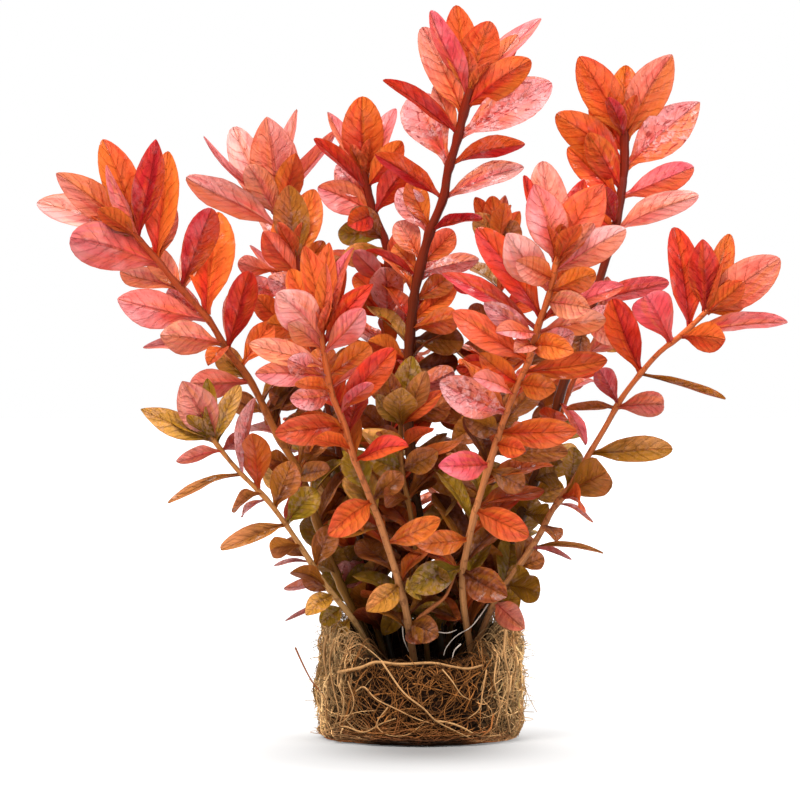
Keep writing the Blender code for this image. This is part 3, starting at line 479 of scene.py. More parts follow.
# Roots clear of the wall: thickness, colour, and where they show with their depth
FREE_ROOTS = {
    "rim_left": (0.42, "root_pale", (
        (-19, 21.5, -15), (-17.4, 22.2, -17), (-15, 23.2, -17), (-11.5, 20.8, -20), (-9.6, 19, -23))),
    "shoot": (1.3, "root_mat", (
        (-1.2, 28.3, -13), (0.4, 30.2, -14), (3.2, 32.5, -15), (6, 34.8, -15), (7.5, 37.5, -14),
        (8.8, 40.8, -13))),
    "white_left": (0.35, "root_white", (
        (-4.4, 27.6, -8), (-4.1, 24.6, -9), (-2.8, 21.3, -10))),
    "white_right": (0.35, "root_white", (
        (17, 33.2, -4), (14.8, 30, -7), (12.6, 27.4, -9), (9, 25.2, -10), (6.6, 22.4, -11),
        (5.9, 20.4, -12))),
    "white_short": (0.4, "root_white", (
        (10.2, 23.2, -11), (8.6, 21.6, -12), (8, 19.2, -14))),
    "white_bit": (0.35, "root_white", (
        (4.6, 26.2, -10), (7, 26, -11), (9.2, 26.8, -10))),
    "left_hair": (0.5, "root_mat", (
        (-31.2, 22.4, -4), (-29, 17.6, -5), (-26.8, 13.6, -6), (-23.6, 9.6, -7), (-22.5, 6, -9))),
    "right_hair": (0.26, "root_pale", (
        (23.5, 21, 0), (25.8, 14, -1), (27.2, 10, -2), (29.2, 6.2, -3))),
    "left_curl": (0.2, "root_pale", (
        (-23.5, 4, -6), (-25.6, 2.4, -7), (-24.6, 0.6, -9), (-22, 0.2, -11))),
    "right_tuft": (0.2, "root_pale", (
        (22.2, 28.6, 2), (24, 27.8, 1), (25.6, 23.6, 0))),
}

# Each stem: depth at its foot and tip, radius at its foot and tip, the height where its crown starts,
# its tint, and its path from foot to tip as (across, up)
STEMS = {
    "far_left": (3, -14, 1.25, 0.8, 113.5, "amber", (
        (-12, 18), (-15, 28), (-20, 38.5), (-25, 51.5), (-29.8, 65.2), (-35.7, 75.7), (-42.4, 89),
        (-48.3, 96.8), (-53, 104.5), (-61, 113.5), (-65.5, 119), (-72, 126.5))),
    "low_left": (-6, -24, 0.8, 0.6, 69.5, "gold", (
        (-11, 19), (-16.1, 28.5), (-23.6, 38), (-29.4, 47), (-33.6, 53.2), (-38.5, 59.6), (-44.8, 65.9),
        (-49, 70.8), (-52.5, 75.5))),
    "left_back": (10, 34, 0.9, 0.7, 127, "amber", (
        (-8.5, 19), (-14, 38), (-19, 52), (-25, 70), (-30, 88), (-33.5, 105), (-35.5, 120), (-36, 132.5))),
    "mid_left": (7, 6, 1.0, 0.75, 108, "brown", (
        (-7, 19), (-11, 36), (-15, 50), (-20, 70), (-24.5, 88), (-28.5, 105), (-31, 121))),
    "front_left": (-10, -34, 1.05, 0.75, 93.5, "peach", (
        (-1.5, 19), (-3.9, 33.4), (-8.3, 48.4), (-12.1, 59), (-16.3, 69.2), (-19.2, 78.7), (-22, 85.5),
        (-23.8, 94.1), (-24.9, 101.5))),
    "centre_back": (12, 24, 1.15, 1.0, 129, "brown", (
        (-2, 19), (-3.5, 38), (-6, 55), (-8, 75), (-8.5, 95), (-8, 112), (-8.5, 123), (-11.5, 131),
        (-13, 136.5), (-14, 141.5))),
    "small_centre": (-3, -16, 0.8, 0.65, 74.5, "olive", (
        (2, 19), (0, 38), (-2.3, 55.4), (-4.5, 66.9), (-4.8, 80))),
    "tall_centre": (4, 2, 1.5, 1.2, 146, "brown", (
        (6, 19), (3, 36), (0, 52), (-2.2, 70), (-3.2, 88), (-1.9, 106.4), (-0.5, 115.2), (2.3, 125.7),
        (5.8, 134.5), (6.9, 141), (9.2, 149), (10.8, 155.5), (12.5, 162))),
    "mid_right": (13, 4, 0.85, 0.65, 118, "amber", (
        (6.5, 19), (10, 45), (14, 65), (18, 85), (20, 102), (19.5, 124))),
    "front_right": (-6, -33, 1.0, 0.8, 106.5, "peach", (
        (13.2, 19), (11, 32), (10.6, 40.5), (11.5, 46), (13.7, 55.8), (17, 67), (19.6, 75.1), (22, 82.1),
        (24.5, 88.4), (27.2, 94.1), (29.6, 102.9), (32.1, 109.9), (34.5, 120.5))),
    "tall_right": (6, 24, 1.4, 1.15, 140.2, "brown", (
        (11, 19), (15, 30), (20, 42), (26, 57), (31, 71), (35.8, 88), (41.9, 104.7), (45.2, 115.2), (49, 128),
        (50, 134), (51, 142), (51.2, 152))),
    "right_back": (12, 36, 0.75, 0.6, 98, "amber", (
        (9, 19), (16, 31), (22.5, 43), (28.5, 60), (34, 77), (38.8, 90), (44, 100), (46, 105))),
    "right": (-3, -10, 0.95, 0.7, 95, "peach", (
        (13, 19), (16.5, 29), (20.5, 36.5), (29, 49.1), (33.2, 56.9), (37.5, 62.5), (42.4, 70.9),
        (46.6, 77.9), (50.1, 84.2), (54.6, 90.2), (59.9, 96.2), (66, 101), (72.7, 107.5))),
}

# Leaves of each stem: which piece it belongs to ("crown", "stem", or "leaf" for a separate one),
# where it leaves the stem, its tip, its width as it shows, and its tint
LEAVES = {
    "far_left": (
        ("leaf", -65, 118.5, -87.5, 124.8, 11, "pink"),
        ("leaf", -60.5, 111, -52, 132.2, 7.5, "crimson"),
        ("leaf", -52.5, 105.5, -50.3, 131.3, 11, "flame"),
        ("stem", -53.5, 103.5, -75.7, 109.5, 9, "pink"),
        ("crown", -72.5, 126.5, -79.3, 149.5, 8.5, "orange"),
        ("crown", -72.5, 127, -78.5, 143, 3.5, "pink"),
        ("crown", -72.5, 126.5, -91, 141, 8, "salmon"),
        ("crown", -72, 125.5, -95.8, 133.6, 7.5, "pale"),
        ("crown", -71, 125, -66, 149.5, 7, "crimson"),
        ("crown", -65.5, 120.5, -63, 146.5, 8, "flame"),
        ("stem", -61, 112, -75, 116.5, 5.5, "peach"),
        ("stem", -59, 111, -57, 124.5, 4.5, "pale"),
        ("stem", -50, 98.5, -65, 100.5, 8, "peach"),
        ("stem", -50, 98, -69.3, 97.4, 4, "pink"),
        ("stem", -48.5, 97, -53, 93, 3, "orange"),
        ("stem", -48, 96.5, -42.6, 116.5, 7, "red"),
        ("stem", -48, 97, -45, 113, 5, "pale"),
        ("stem", -42.5, 88.5, -57.5, 88.5, 7, "dusky"),
        ("stem", -36, 75.5, -42, 78, 3.5, "pale"),
        ("stem", -35, 74, -38, 84, 4, "amber"),
        ("stem", -31.5, 67.5, -38.5, 70, 5, "brown"),
        ("stem", -28, 61.5, -38.5, 66.5, 6.5, "gold"),
        ("stem", -29.8, 65.2, -22.5, 67, 4.5, "brown"),
        ("stem", -29.5, 64, -33, 54, 2.6, "rose"),
        ("stem", -25.5, 54, -33.5, 58, 4, "gold"),
        ("stem", -25, 53, -19.5, 61, 4.5, "brown"),
        ("stem", -20.5, 41, -26.5, 43.5, 3.5, "gold"),
        ("stem", -19, 38, -13.5, 43, 3.5, "olive"),
    ),
    "low_left": (
        ("crown", -53.2, 75.3, -69.9, 82, 5.8, "gold"),
        ("crown", -53, 76, -59.5, 89, 9, "dusky"),
        ("crown", -52.4, 75.7, -53.2, 89.7, 4, "olive"),
        ("crown", -51.1, 75, -45, 88, 4.4, "gold"),
        ("crown", -49.8, 73.5, -46.5, 85.2, 3.5, "olive"),
        ("crown", -49, 71.5, -61, 69, 3.5, "dusky"),
        ("crown", -49, 71.5, -43.5, 76, 4, "mauve"),
        ("stem", -40.3, 62, -42, 76, 7, "amber"),
        ("leaf", -33.8, 53.3, -49.8, 46.8, 4, "tan"),
        ("stem", -45.2, 66.2, -63.1, 58.5, 2, "tan"),
        ("stem", -44.5, 65.7, -41.3, 84.8, 3, "mauve"),
        ("stem", -39.6, 60.7, -47, 57, 3.5, "tan"),
        ("stem", -38.5, 59.5, -44.6, 55, 1.6, "mauve"),
        ("stem", -30, 47.5, -37.5, 46.6, 5, "tan"),
        ("stem", -27, 44, -36.6, 42.8, 1.2, "mauve"),
        ("stem", -24, 38.3, -32, 41.5, 4, "tan"),
        ("stem", -23.5, 37.5, -34, 37.3, 2.5, "mauve"),
        ("stem", -21.5, 35.5, -28.5, 30.5, 4.5, "gold"),
        ("stem", -21.5, 35, -33.8, 29, 1.1, "mauve"),
    ),
    "left_back": (
        ("leaf", -37, 128, -58.5, 140, 7.5, "pale"),
        ("crown", -35.6, 132.5, -38.3, 155.1, 11.7, "dusky"),
        ("crown", -36, 131.5, -46.8, 152.5, 8.5, "pale"),
        ("crown", -36, 132, -54.1, 150.3, 2, "pink"),
        ("crown", -35.8, 132, -30.8, 157, 4.2, "dusky"),
        ("crown", -35.8, 130, -20.8, 151.7, 3.5, "pink"),
        ("stem", -35.5, 121, -40, 131, 4, "pale"),
        ("stem", -35.5, 116, -45.5, 118.8, 5, "salmon"),
        ("stem", -34.5, 112, -42.5, 123, 2, "pink"),
        ("stem", -34.5, 112, -27, 119, 5, "orange"),
        ("stem", -32, 98, -42, 101, 5, "orange"),
        ("stem", -32, 98, -24, 105, 5, "amber"),
        ("stem", -29, 85, -38, 91, 5, "salmon"),
        ("stem", -29, 85, -21, 91, 5, "amber"),
        ("stem", -25, 70, -33, 76, 5, "olive"),
        ("stem", -25, 70, -17.5, 76, 5, "brown"),
        ("stem", -19.5, 53, -27.5, 57, 5, "olive"),
        ("stem", -19.5, 53, -14, 59, 5, "brown"),
    ),
    "mid_left": (
        ("crown", -31, 120, -32.8, 138, 8.5, "brown"),
        ("crown", -31, 120, -26.5, 137, 8, "amber"),
        ("crown", -30, 115, -39.3, 126.4, 7, "coral"),
        ("crown", -30, 115, -24, 124, 5, "amber"),
        ("leaf", -24, 86, -37.8, 85, 6.5, "brown"),
        ("stem", -27.5, 101, -38.3, 103.5, 6, "amber"),
        ("stem", -27, 99, -43.5, 99.5, 3, "peach"),
        ("stem", -25, 90, -15.5, 96, 6, "brown"),
        ("stem", -22.5, 80, -14.5, 87, 6, "brown"),
        ("stem", -20, 70, -29, 71, 5.5, "brown"),
        ("stem", -18, 62, -9.5, 69, 6.5, "brown"),
        ("stem", -16.5, 56, -24.5, 61, 5, "olive"),
        ("stem", -13, 44, -20.5, 38.3, 7, "mauve"),
        ("stem", -12, 41, -5.5, 46, 4.5, "brown"),
    ),
    "front_left": (
        ("leaf", -24, 92.3, -42.7, 98.2, 5.5, "peach"),
        ("leaf", -20.5, 81.5, -6.3, 97, 7, "red"),
        ("leaf", -19, 77.6, -36.3, 75.9, 7, "coral"),
        ("leaf", -16, 69.3, -2.9, 72.7, 4.8, "red"),
        ("leaf", -12, 58.7, -23, 50.5, 7, "orange"),
        ("crown", -24, 99.5, -35.8, 111.2, 9.5, "pale"),
        ("crown", -24.5, 101, -28.9, 122.8, 6.5, "orange"),
        ("crown", -24.5, 101, -22.7, 123.7, 6.5, "orange"),
        ("crown", -24.5, 101, -23.6, 118.5, 4, "coral"),
        ("crown", -24.5, 100, -16.6, 122.5, 4.5, "rose"),
        ("crown", -24, 98, -11.7, 113.3, 5.5, "red"),
        ("crown", -24, 96.4, -14, 107, 6.5, "pink"),
        ("stem", -23.2, 90.1, -41.3, 90.8, 6, "pink"),
        ("stem", -22.5, 86.5, -30.6, 89, 4, "amber"),
        ("stem", -22.5, 87, -7, 94.2, 2, "pink"),
        ("stem", -23, 90, -12.5, 98, 6, "amber"),
        ("stem", -17.4, 72.5, -26.2, 74.8, 4, "orange"),
        ("stem", -8.3, 48.5, 5.1, 54.5, 5.5, "amber"),
        ("stem", -9.5, 52, -20, 51, 3.2, "brown"),
        ("stem", -5.2, 38.5, -13.4, 31.5, 6, "honey"),
        ("stem", -4, 34, -9.2, 25.5, 5, "olive"),
    ),
    "centre_back": (
        ("leaf", -8, 104, -8.8, 117.5, 8, "mauve"),
        ("crown", -13.5, 140.9, -14.4, 160.2, 10, "flame"),
        ("crown", -14, 141, -23.1, 156.3, 4, "pink"),
        ("crown", -14, 141, -6.1, 157.2, 5, "pink"),
        ("crown", -12.8, 137, -26.5, 149.7, 3.5, "red"),
        ("crown", -11.7, 131.5, -2.5, 143.5, 7, "red"),
        ("crown", -11.7, 131.5, -25.6, 137.5, 8, "pink"),
        ("crown", -11.5, 131, -18, 128, 6, "red"),
        ("stem", -9, 124.5, -20.5, 126, 6, "olive"),
        ("stem", -8, 113, -16.5, 121.5, 5.5, "pink"),
        ("stem", -8.2, 108, -16.5, 115.5, 5.5, "orange"),
        ("stem", -8.5, 110, -3, 121, 5.5, "amber"),
        ("stem", -8.5, 95, -9.3, 105, 4, "orange"),
        ("stem", -8.5, 95, -15.5, 101.5, 4, "mauve"),
        ("stem", -8.4, 90, -14, 97, 5, "olive"),
        ("stem", -8, 76, -15, 82, 6, "brown"),
        ("stem", -8, 76, -1, 82.5, 6, "dark"),
        ("stem", -7, 64, -14.5, 67, 5, "brown"),
        ("stem", -5, 50, 1, 57, 5, "dark"),
    ),
    "small_centre": (
        ("crown", -4.7, 79, -2, 95.3, 7, "olive"),
        ("crown", -4.8, 78.5, -4.5, 87.4, 8, "gold"),
        ("crown", -4.7, 78.5, 5.7, 86.6, 4, "orange"),
        ("crown", -4.8, 78, -10.9, 85.7, 4.5, "gold"),
        ("stem", -4.7, 73.5, 2.9, 77.3, 3.6, "orange"),
        ("stem", -4.7, 72.5, -10, 76.5, 3.5, "brown"),
        ("stem", -3.2, 60, 3.5, 65, 4, "brown"),
        ("stem", -3.2, 60, -9, 60.5, 5, "brown"),
        ("stem", 0, 38, -3.6, 36.8, 6, "olive"),
        ("stem", 0.2, 37, 6.8, 41.3, 5, "olive"),
    ),
    "tall_centre": (
        ("leaf", 9.4, 149.5, 33, 163.5, 10, "spotted"),
        ("stem", 7.2, 142.5, -1.8, 160.8, 11, "spotted"),
        ("leaf", 7.4, 143, 26.3, 148.3, 5, "crimson"),
        ("leaf", 5.9, 135, 26, 142.5, 5.5, "mauve"),
        ("leaf", 5.8, 134.3, -11.2, 145.8, 5, "crimson"),
        ("stem", -2.2, 70, 14.5, 61, 9, "brown"),
        ("crown", 10.5, 155.2, 0.5, 177.5, 8.5, "salmon"),
        ("crown", 11.8, 160, 2.7, 181.7, 5.5, "magenta"),
        ("crown", 12.5, 162, 9, 183, 8, "orange"),
        ("crown", 12.5, 161.5, 17.5, 179, 9.5, "orange"),
        ("crown", 12.5, 161, 30.3, 179.7, 5, "pink"),
        ("crown", 11.5, 157.5, 27.7, 169.3, 8, "flame"),
        ("crown", 9.8, 151, -9.3, 164.3, 4, "red"),
        ("stem", 2.5, 126, -5.5, 137, 7, "spotted"),
        ("stem", 2.9, 127, 15.6, 129.8, 2.6, "crimson"),
        ("stem", -0.3, 116, 14.8, 119.5, 4.8, "mauve"),
        ("stem", -0.3, 116, -6.5, 123, 6, "amber"),
        ("stem", -0.5, 115.5, -13.5, 121.8, 2, "red"),
        ("stem", -2.2, 104, 9, 113.5, 5.5, "orange"),
        ("stem", -2.4, 102, 10, 105, 6.5, "amber"),
        ("stem", -2.6, 99, 11, 99, 7.5, "dark"),
        ("stem", -3, 92, 9.5, 94, 6.5, "dark"),
        ("stem", -3, 86, 8.5, 91.5, 6, "mauve"),
        ("stem", 0, 53, 7.5, 58.5, 6, "brown"),
        ("stem", 3.2, 35, 10, 29.5, 5.5, "amber"),
        ("stem", 2.3, 40, 8.5, 45.5, 5, "olive"),
    ),
    "mid_right": (
        ("crown", 19.5, 123, 18, 135.3, 5.5, "amber"),
        ("crown", 19.5, 122, 13.8, 135, 4.5, "orange"),
        ("crown", 19.5, 123, 21.3, 135.5, 4, "peach"),
        ("crown", 19.5, 122, 25, 131.5, 4.5, "orange"),
        ("stem", 19.8, 110, 8.5, 113.5, 4.5, "crimson"),
        ("stem", 20, 101, 12, 107, 6, "brown"),
        ("stem", 19, 93, 11, 98, 6, "brown"),
        ("stem", 19, 93, 26.5, 98, 6, "amber"),
        ("stem", 16.5, 77, 5, 80.5, 5.5, "brown"),
        ("stem", 16.5, 77, 23.5, 82, 5.5, "dark"),
        ("stem", 13.5, 63, 21, 67, 5.5, "olive"),
        ("stem", 10.5, 47, 3.5, 51, 5, "olive"),
    ),
    "front_right": (
        ("leaf", 30.2, 105.2, 14.2, 127.3, 8, "red"),
        ("leaf", 27, 93.8, 8.2, 106.4, 7, "coral"),
        ("leaf", 22, 81.5, 4.9, 88.8, 8.5, "spotted"),
        ("leaf", 26.5, 91, 46.9, 94.2, 6, "orange"),
        ("leaf", 20.4, 76.5, 39.3, 76.4, 7, "orange"),
        ("leaf", 17.2, 67.6, 4.6, 67.7, 6.8, "magenta"),
        ("leaf", 14, 56.6, 27.2, 50.2, 6.8, "orange"),
        ("leaf", 12.2, 49.5, -1.4, 48.3, 5.8, "amber"),
        ("crown", 34.3, 119.5, 28.6, 138.3, 9.2, "pink"),
        ("crown", 32.4, 111.3, 21.6, 125.9, 9, "pale"),
        ("crown", 34.5, 120.3, 30.6, 144, 9, "salmon"),
        ("crown", 34.5, 120, 26, 140.5, 4, "red"),
        ("crown", 34.5, 120.3, 46, 138.3, 10, "coral"),
        ("crown", 34.5, 120.3, 41, 139.5, 6, "red"),
        ("crown", 33.6, 116.6, 51.5, 127, 7.5, "pale"),
        ("crown", 32.5, 111.5, 44, 116, 6, "amber"),
        ("stem", 29.2, 102, 5.4, 115.9, 4.5, "crimson"),
        ("stem", 29.2, 101, 19, 101.3, 4, "pink"),
        ("stem", 28.4, 98, 23.6, 96.2, 4, "salmon"),
        ("stem", 29.6, 103.5, 51, 112.8, 5, "rose"),
        ("stem", 29, 100.5, 46.5, 104.5, 6, "peach"),
        ("stem", 28.4, 98, 38.5, 96.3, 6, "amber"),
        ("stem", 23.8, 86, 13.3, 89.9, 4, "pink"),
        ("stem", 19, 73.5, 26.3, 71.5, 5, "orange"),
        ("stem", 18, 70.5, 37, 71.3, 5.5, "brown"),
        ("stem", 16.5, 65, 23.5, 66, 5, "olive"),
        ("stem", 13.3, 54.5, 20, 52.5, 3.6, "olive"),
        ("stem", 10.8, 41.5, 21.8, 35, 8, "dark"),
    ),
    "tall_right": (
        ("leaf", 50, 134.5, 68.5, 142.5, 7, "magenta"),
        ("leaf", 48.6, 126.5, 69.7, 135.5, 6.5, "pale"),
        ("crown", 51, 150, 39.8, 170.2, 9.5, "orange"),
        ("crown", 51.2, 152, 51.5, 168, 8, "amber"),
        ("crown", 51, 148.5, 63, 170.7, 10, "salmon"),
        ("crown", 51, 141.5, 70, 158.8, 10.5, "spotted"),
        ("crown", 51, 142.5, 34, 155.8, 9, "flame"),
        ("crown", 51.2, 151, 47, 160, 4, "crimson"),
        ("stem", 49.8, 134, 37, 147.5, 7, "flame"),
        ("stem", 48.8, 128, 46.3, 137.5, 5, "crimson"),
        ("stem", 47, 121.5, 37.5, 129, 5, "red"),
        ("stem", 43.2, 109, 62.3, 113.7, 5, "rose"),
        ("stem", 41.9, 104.7, 50.3, 98.8, 5.5, "peach"),
        ("stem", 40.5, 101, 39.8, 92.5, 5, "dark"),
        ("stem", 36.5, 90, 28, 96, 6, "brown"),
        ("stem", 35.5, 87, 27, 84, 5, "brown"),
        ("stem", 34.7, 84, 41.5, 73, 3, "rose"),
        ("stem", 31.3, 72, 39.5, 70.5, 5, "gold"),
        ("stem", 28.5, 64, 34, 66, 6.5, "olive"),
        ("stem", 28, 62.5, 17.5, 61, 6, "olive"),
        ("stem", 25.5, 56, 32.5, 55.5, 5.5, "olive"),
        ("stem", 25, 55, 17.5, 58.5, 5, "olive"),
    ),
    "right_back": (
        ("crown", 45.8, 104, 49.5, 112.5, 5, "peach"),
        ("crown", 45.5, 103.5, 41, 111.5, 5, "orange"),
        ("crown", 44.5, 101, 50.5, 96.5, 5, "gold"),
        ("stem", 39, 90.5, 46.5, 89.2, 2.2, "pale"),
        ("stem", 38, 87, 44.5, 88.7, 2, "pink"),
        ("stem", 38, 87, 30, 90.5, 5, "amber"),
        ("stem", 33, 74, 40, 78, 5, "olive"),
        ("stem", 27.5, 57, 21, 62, 5, "olive"),
    ),
    "right": (
        ("leaf", 63.5, 98, 56.5, 110.3, 9.5, "magenta"),
        ("leaf", 55, 90.7, 48, 109.5, 7.8, "red"),
        ("leaf", 42.4, 70.5, 63.2, 72, 6, "honey"),
        ("leaf", 36.2, 60.6, 46.8, 66.3, 9.3, "honey"),
        ("crown", 67.5, 102.5, 63.5, 127.5, 7.5, "red"),
        ("crown", 72, 107, 70.7, 124.5, 7.5, "red"),
        ("crown", 72.7, 107.5, 77.5, 125.8, 5.5, "amber"),
        ("crown", 72, 107, 90, 119.7, 10, "salmon"),
        ("crown", 66.5, 101.5, 92, 103.7, 4, "pink"),
        ("crown", 65, 100, 76.4, 99.4, 7.2, "orange"),
        ("stem", 55.5, 90.5, 76.5, 84.5, 2, "brown"),
        ("stem", 49.5, 83, 44.8, 92, 5.2, "rose"),
        ("stem", 49.3, 82, 61, 83.2, 6, "peach"),
        ("stem", 49.3, 82.5, 36.6, 82, 2.4, "brown"),
        ("stem", 37, 61.5, 38.5, 72.5, 5, "olive"),
        ("stem", 35.5, 60, 39.8, 57.5, 4.5, "orange"),
        ("stem", 34.5, 58.5, 43.4, 53.7, 1.4, "mauve"),
        ("stem", 31, 53, 34, 49, 3.5, "brown"),
        ("stem", 28, 47.7, 46, 46, 1.5, "tan"),
        ("stem", 28, 47.5, 38, 44.4, 1.5, "mauve"),
        ("stem", 21.5, 38, 30, 36, 6.5, "olive"),
        ("stem", 19.3, 33.2, 26, 27, 6, "peach"),
    ),
}

# Further small leaves, on the pieces that these stems make: the same, with how far the tip lies behind the
# stem in place of a packed blade
MORE_LEAVES = {
    "far_left": (
        ("crown", -72, 126, -84, 133, 6, 5, "honey"),
        ("crown", -71.5, 126, -73, 144, 5.5, 6, "orange"),
        ("crown", -65.5, 119.5, -62, 134, 6, 9, "salmon"),
        ("stem", -61, 113, -68, 122, 6, 8, "peach"),
        ("stem", -53, 104.5, -63, 112, 6, 8, "spotted"),
        ("stem", -45, 92.5, -37, 104, 6, 6, "orange"),
        ("stem", -42.4, 89, -50.5, 97, 6, 7, "honey"),
        ("stem", -38, 81, -47, 84.5, 5.5, 7, "brown"),
        ("stem", -38, 81, -30, 89, 6, 7, "dark"),
        ("stem", -31, 67.5, -24, 78, 7, 7, "brown"),
    ),
    "low_left": (
        ("crown", -51.5, 74.5, -57, 83, 5.5, 4, "brown"),
        ("stem", -36, 57, -32, 69, 7, 5, "brown"),
        ("stem", -33.6, 53.2, -26, 62, 7, 5, "olive"),
        ("stem", -26, 42, -22, 53, 6, 5, "brown"),
        ("stem", -22, 36.5, -29, 40.5, 4.5, -4, "brown"),
        ("stem", -19, 32, -25, 28.5, 4.5, -3, "olive"),
        ("stem", -17.5, 30.5, -21.5, 24.5, 4, 3, "gold"),
        ("stem", -27.5, 44.5, -34, 49, 4.5, 4, "brown"),
    ),
    "left_back": (
        ("crown", -36, 131, -43, 143, 7, -6, "peach"),
        ("crown", -36, 130, -31, 146, 7, -5, "orange"),
        ("stem", -35.5, 120, -27, 129, 6.5, -5, "salmon"),
        ("stem", -34.5, 111, -44, 112.5, 6, -5, "spotted"),
        ("stem", -33, 102, -41, 110, 6, -6, "orange"),
    ),
    "mid_left": (
        ("crown", -30.5, 117, -36, 130, 6, 5, "flame"),
        ("crown", -29.5, 112, -20, 120, 7, -4, "brown"),
        ("crown", -29, 109, -38, 115, 6.5, -5, "spotted"),
        ("stem", -27.5, 101, -18, 109, 7, -4, "flame"),
        ("stem", -25.5, 94, -34.5, 98, 6, -4, "orange"),
        ("stem", -22, 77, -31, 81.5, 6.5, -5, "brown"),
    ),
    "front_left": (
        ("crown", -24.5, 100, -32.5, 117, 6.5, 6, "flame"),
        ("crown", -24.2, 97, -33, 103.5, 6, -9, "peach"),
        ("crown", -24.5, 100, -19, 118.5, 5.5, 5, "orange"),
        ("stem", -23, 90, -33, 94.5, 6, -8, "spotted"),
        ("stem", -22, 85.5, -32.5, 84.5, 5.5, -6, "spotted"),
        ("stem", -20, 80.5, -12, 88.5, 3.5, -9, "magenta"),
        ("stem", -18.5, 76.5, -30, 80.5, 4.5, -6, "orange"),
        ("stem", -3.2, 29, 4.6, 25.2, 6.5, -4, "brown"),
        ("stem", -3, 27.5, 0.2, 23.4, 4.5, -5, "dark"),
        ("stem", -12, 58.7, -4.5, 66, 5.5, 4, "brown"),
    ),
    "centre_back": (
        ("crown", -13, 138, -4.5, 149, 6.5, -5, "flame"),
        ("crown", -12.2, 134, -21, 143, 6.5, 5, "spotted"),
        ("stem", -8.5, 124, -17, 132, 6.5, -5, "brown"),
        ("stem", -8.3, 122, -19.5, 119.5, 6, -5, "honey"),
        ("stem", -8, 118, -1.5, 127, 6.5, -5, "coral"),
        ("stem", -8, 105, -15, 111.5, 6.5, -5, "flame"),
        ("stem", -8.2, 100, 0.5, 108, 6.5, -4, "spotted"),
    ),
    "small_centre": (
        ("crown", -4.8, 79, 1.5, 91.5, 5.5, -5, "honey"),
        ("crown", -4.8, 79, -8.5, 91.5, 5.5, -4, "brown"),
        ("stem", -4.5, 67, 4.5, 71.5, 6, -3, "brown"),
        ("stem", -4.5, 67, -12.5, 70, 6, -3, "olive"),
        ("stem", 0.5, 36, -5.8, 43.5, 6.5, -4, "brown"),
    ),
    "tall_centre": (
        ("crown", 12, 160, 24.5, 175.5, 6, 4, "salmon"),
        ("crown", 9.5, 150.5, 3.5, 163, 5, 6, "peach"),
        ("stem", 3.2, 127, -2.5, 139.5, 6, 7, "orange"),
        ("stem", 0.5, 119, -5.5, 129, 6.5, 8, "salmon"),
        ("stem", 0.2, 118, 8.5, 126.5, 6, 8, "coral"),
        ("stem", -1.2, 109, 8, 116, 6, 7, "amber"),
        ("stem", -2.8, 94, -13, 99, 6.5, -4, "flame"),
        ("stem", -3.2, 85, -12.5, 90, 7, -4, "brown"),
        ("stem", -3, 80, 7.5, 84, 7, -4, "brown"),
        ("stem", -2.2, 72, -12, 75.5, 7, -4, "dark"),
        ("stem", -0.5, 56, -10.5, 59.5, 7, -5, "brown"),
        ("stem", 2, 44, 10.5, 51, 7, -4, "dark"),
    ),
    "mid_right": (
        ("crown", 19.5, 122, 14, 131, 6, -4, "honey"),
        ("crown", 19.5, 121, 24, 129, 6, -4, "brown"),
        ("stem", 20, 112, 28, 121, 6, -4, "flame"),
        ("stem", 20, 106, 29, 111, 6.5, 4, "red"),
        ("stem", 19, 93, 9, 92, 6, -5, "red"),
        ("stem", 17, 80, 8, 74, 7, -5, "brown"),
        ("stem", 14.5, 67, 5.5, 72.5, 7, -5, "brown"),
        ("stem", 12.5, 56, 20, 62, 6.5, -5, "olive"),
    ),
    "front_right": (
        ("crown", 33.5, 116, 43.5, 128.5, 6.5, -5, "salmon"),
        ("crown", 33, 114, 24, 119, 6.5, -9, "salmon"),
        ("crown", 31.5, 108.5, 42.5, 107, 6.5, -8, "peach"),
        ("crown", 31.5, 109, 39, 120, 6, 6, "orange"),
        ("stem", 28.5, 99, 16, 108.5, 5.5, -6, "spotted"),
        ("stem", 27.5, 95.5, 38.5, 101, 6, -6, "spotted"),
        ("stem", 24.5, 88.5, 15, 96, 5.5, -6, "flame"),
        ("stem", 24.5, 88.5, 34, 87, 6, -5, "amber"),
        ("stem", 20, 76, 11, 80, 6, -5, "brown"),
        ("stem", 17, 67, 26, 62.5, 6, 5, "brown"),
        ("stem", 10.7, 42.5, -3, 37.2, 7.5, -6, "olive"),
    ),
    "tall_right": (
        ("crown", 51, 149, 56.5, 165, 7, 6, "orange"),
        ("crown", 51, 146, 43, 159, 7, 5, "flame"),
        ("stem", 50, 138, 42, 151, 7, -4, "flame"),
        ("stem", 48.5, 126.5, 40.5, 135, 6, 5, "flame"),
        ("stem", 43.5, 110, 35.5, 119, 6, -4, "red"),
        ("stem", 40.5, 101, 48, 107, 6, -4, "spotted"),
        ("stem", 36.5, 90, 45, 95, 6, -4, "red"),
        ("stem", 31, 71, 22.5, 75, 7, -5, "brown"),
        ("stem", 27, 60, 36, 62.5, 6, -5, "gold"),
    ),
    "right_back": (
        ("stem", 41.5, 95, 50, 103, 6, -4, "peach"),
        ("stem", 36, 82, 28, 79, 6, -4, "brown"),
        ("stem", 30, 64.5, 37.5, 71, 6.5, -4, "olive"),
    ),
    "right": (
        ("crown", 71, 105.5, 82, 110, 5.5, 5, "orange"),
        ("stem", 20.5, 37.5, 27, 41.5, 6, -3, "olive"),
        ("stem", 24.5, 42.5, 31, 45, 4.5, 4, "brown"),
        ("stem", 18.5, 33.5, 25.2, 34.5, 6.5, -3, "olive"),
    ),
}


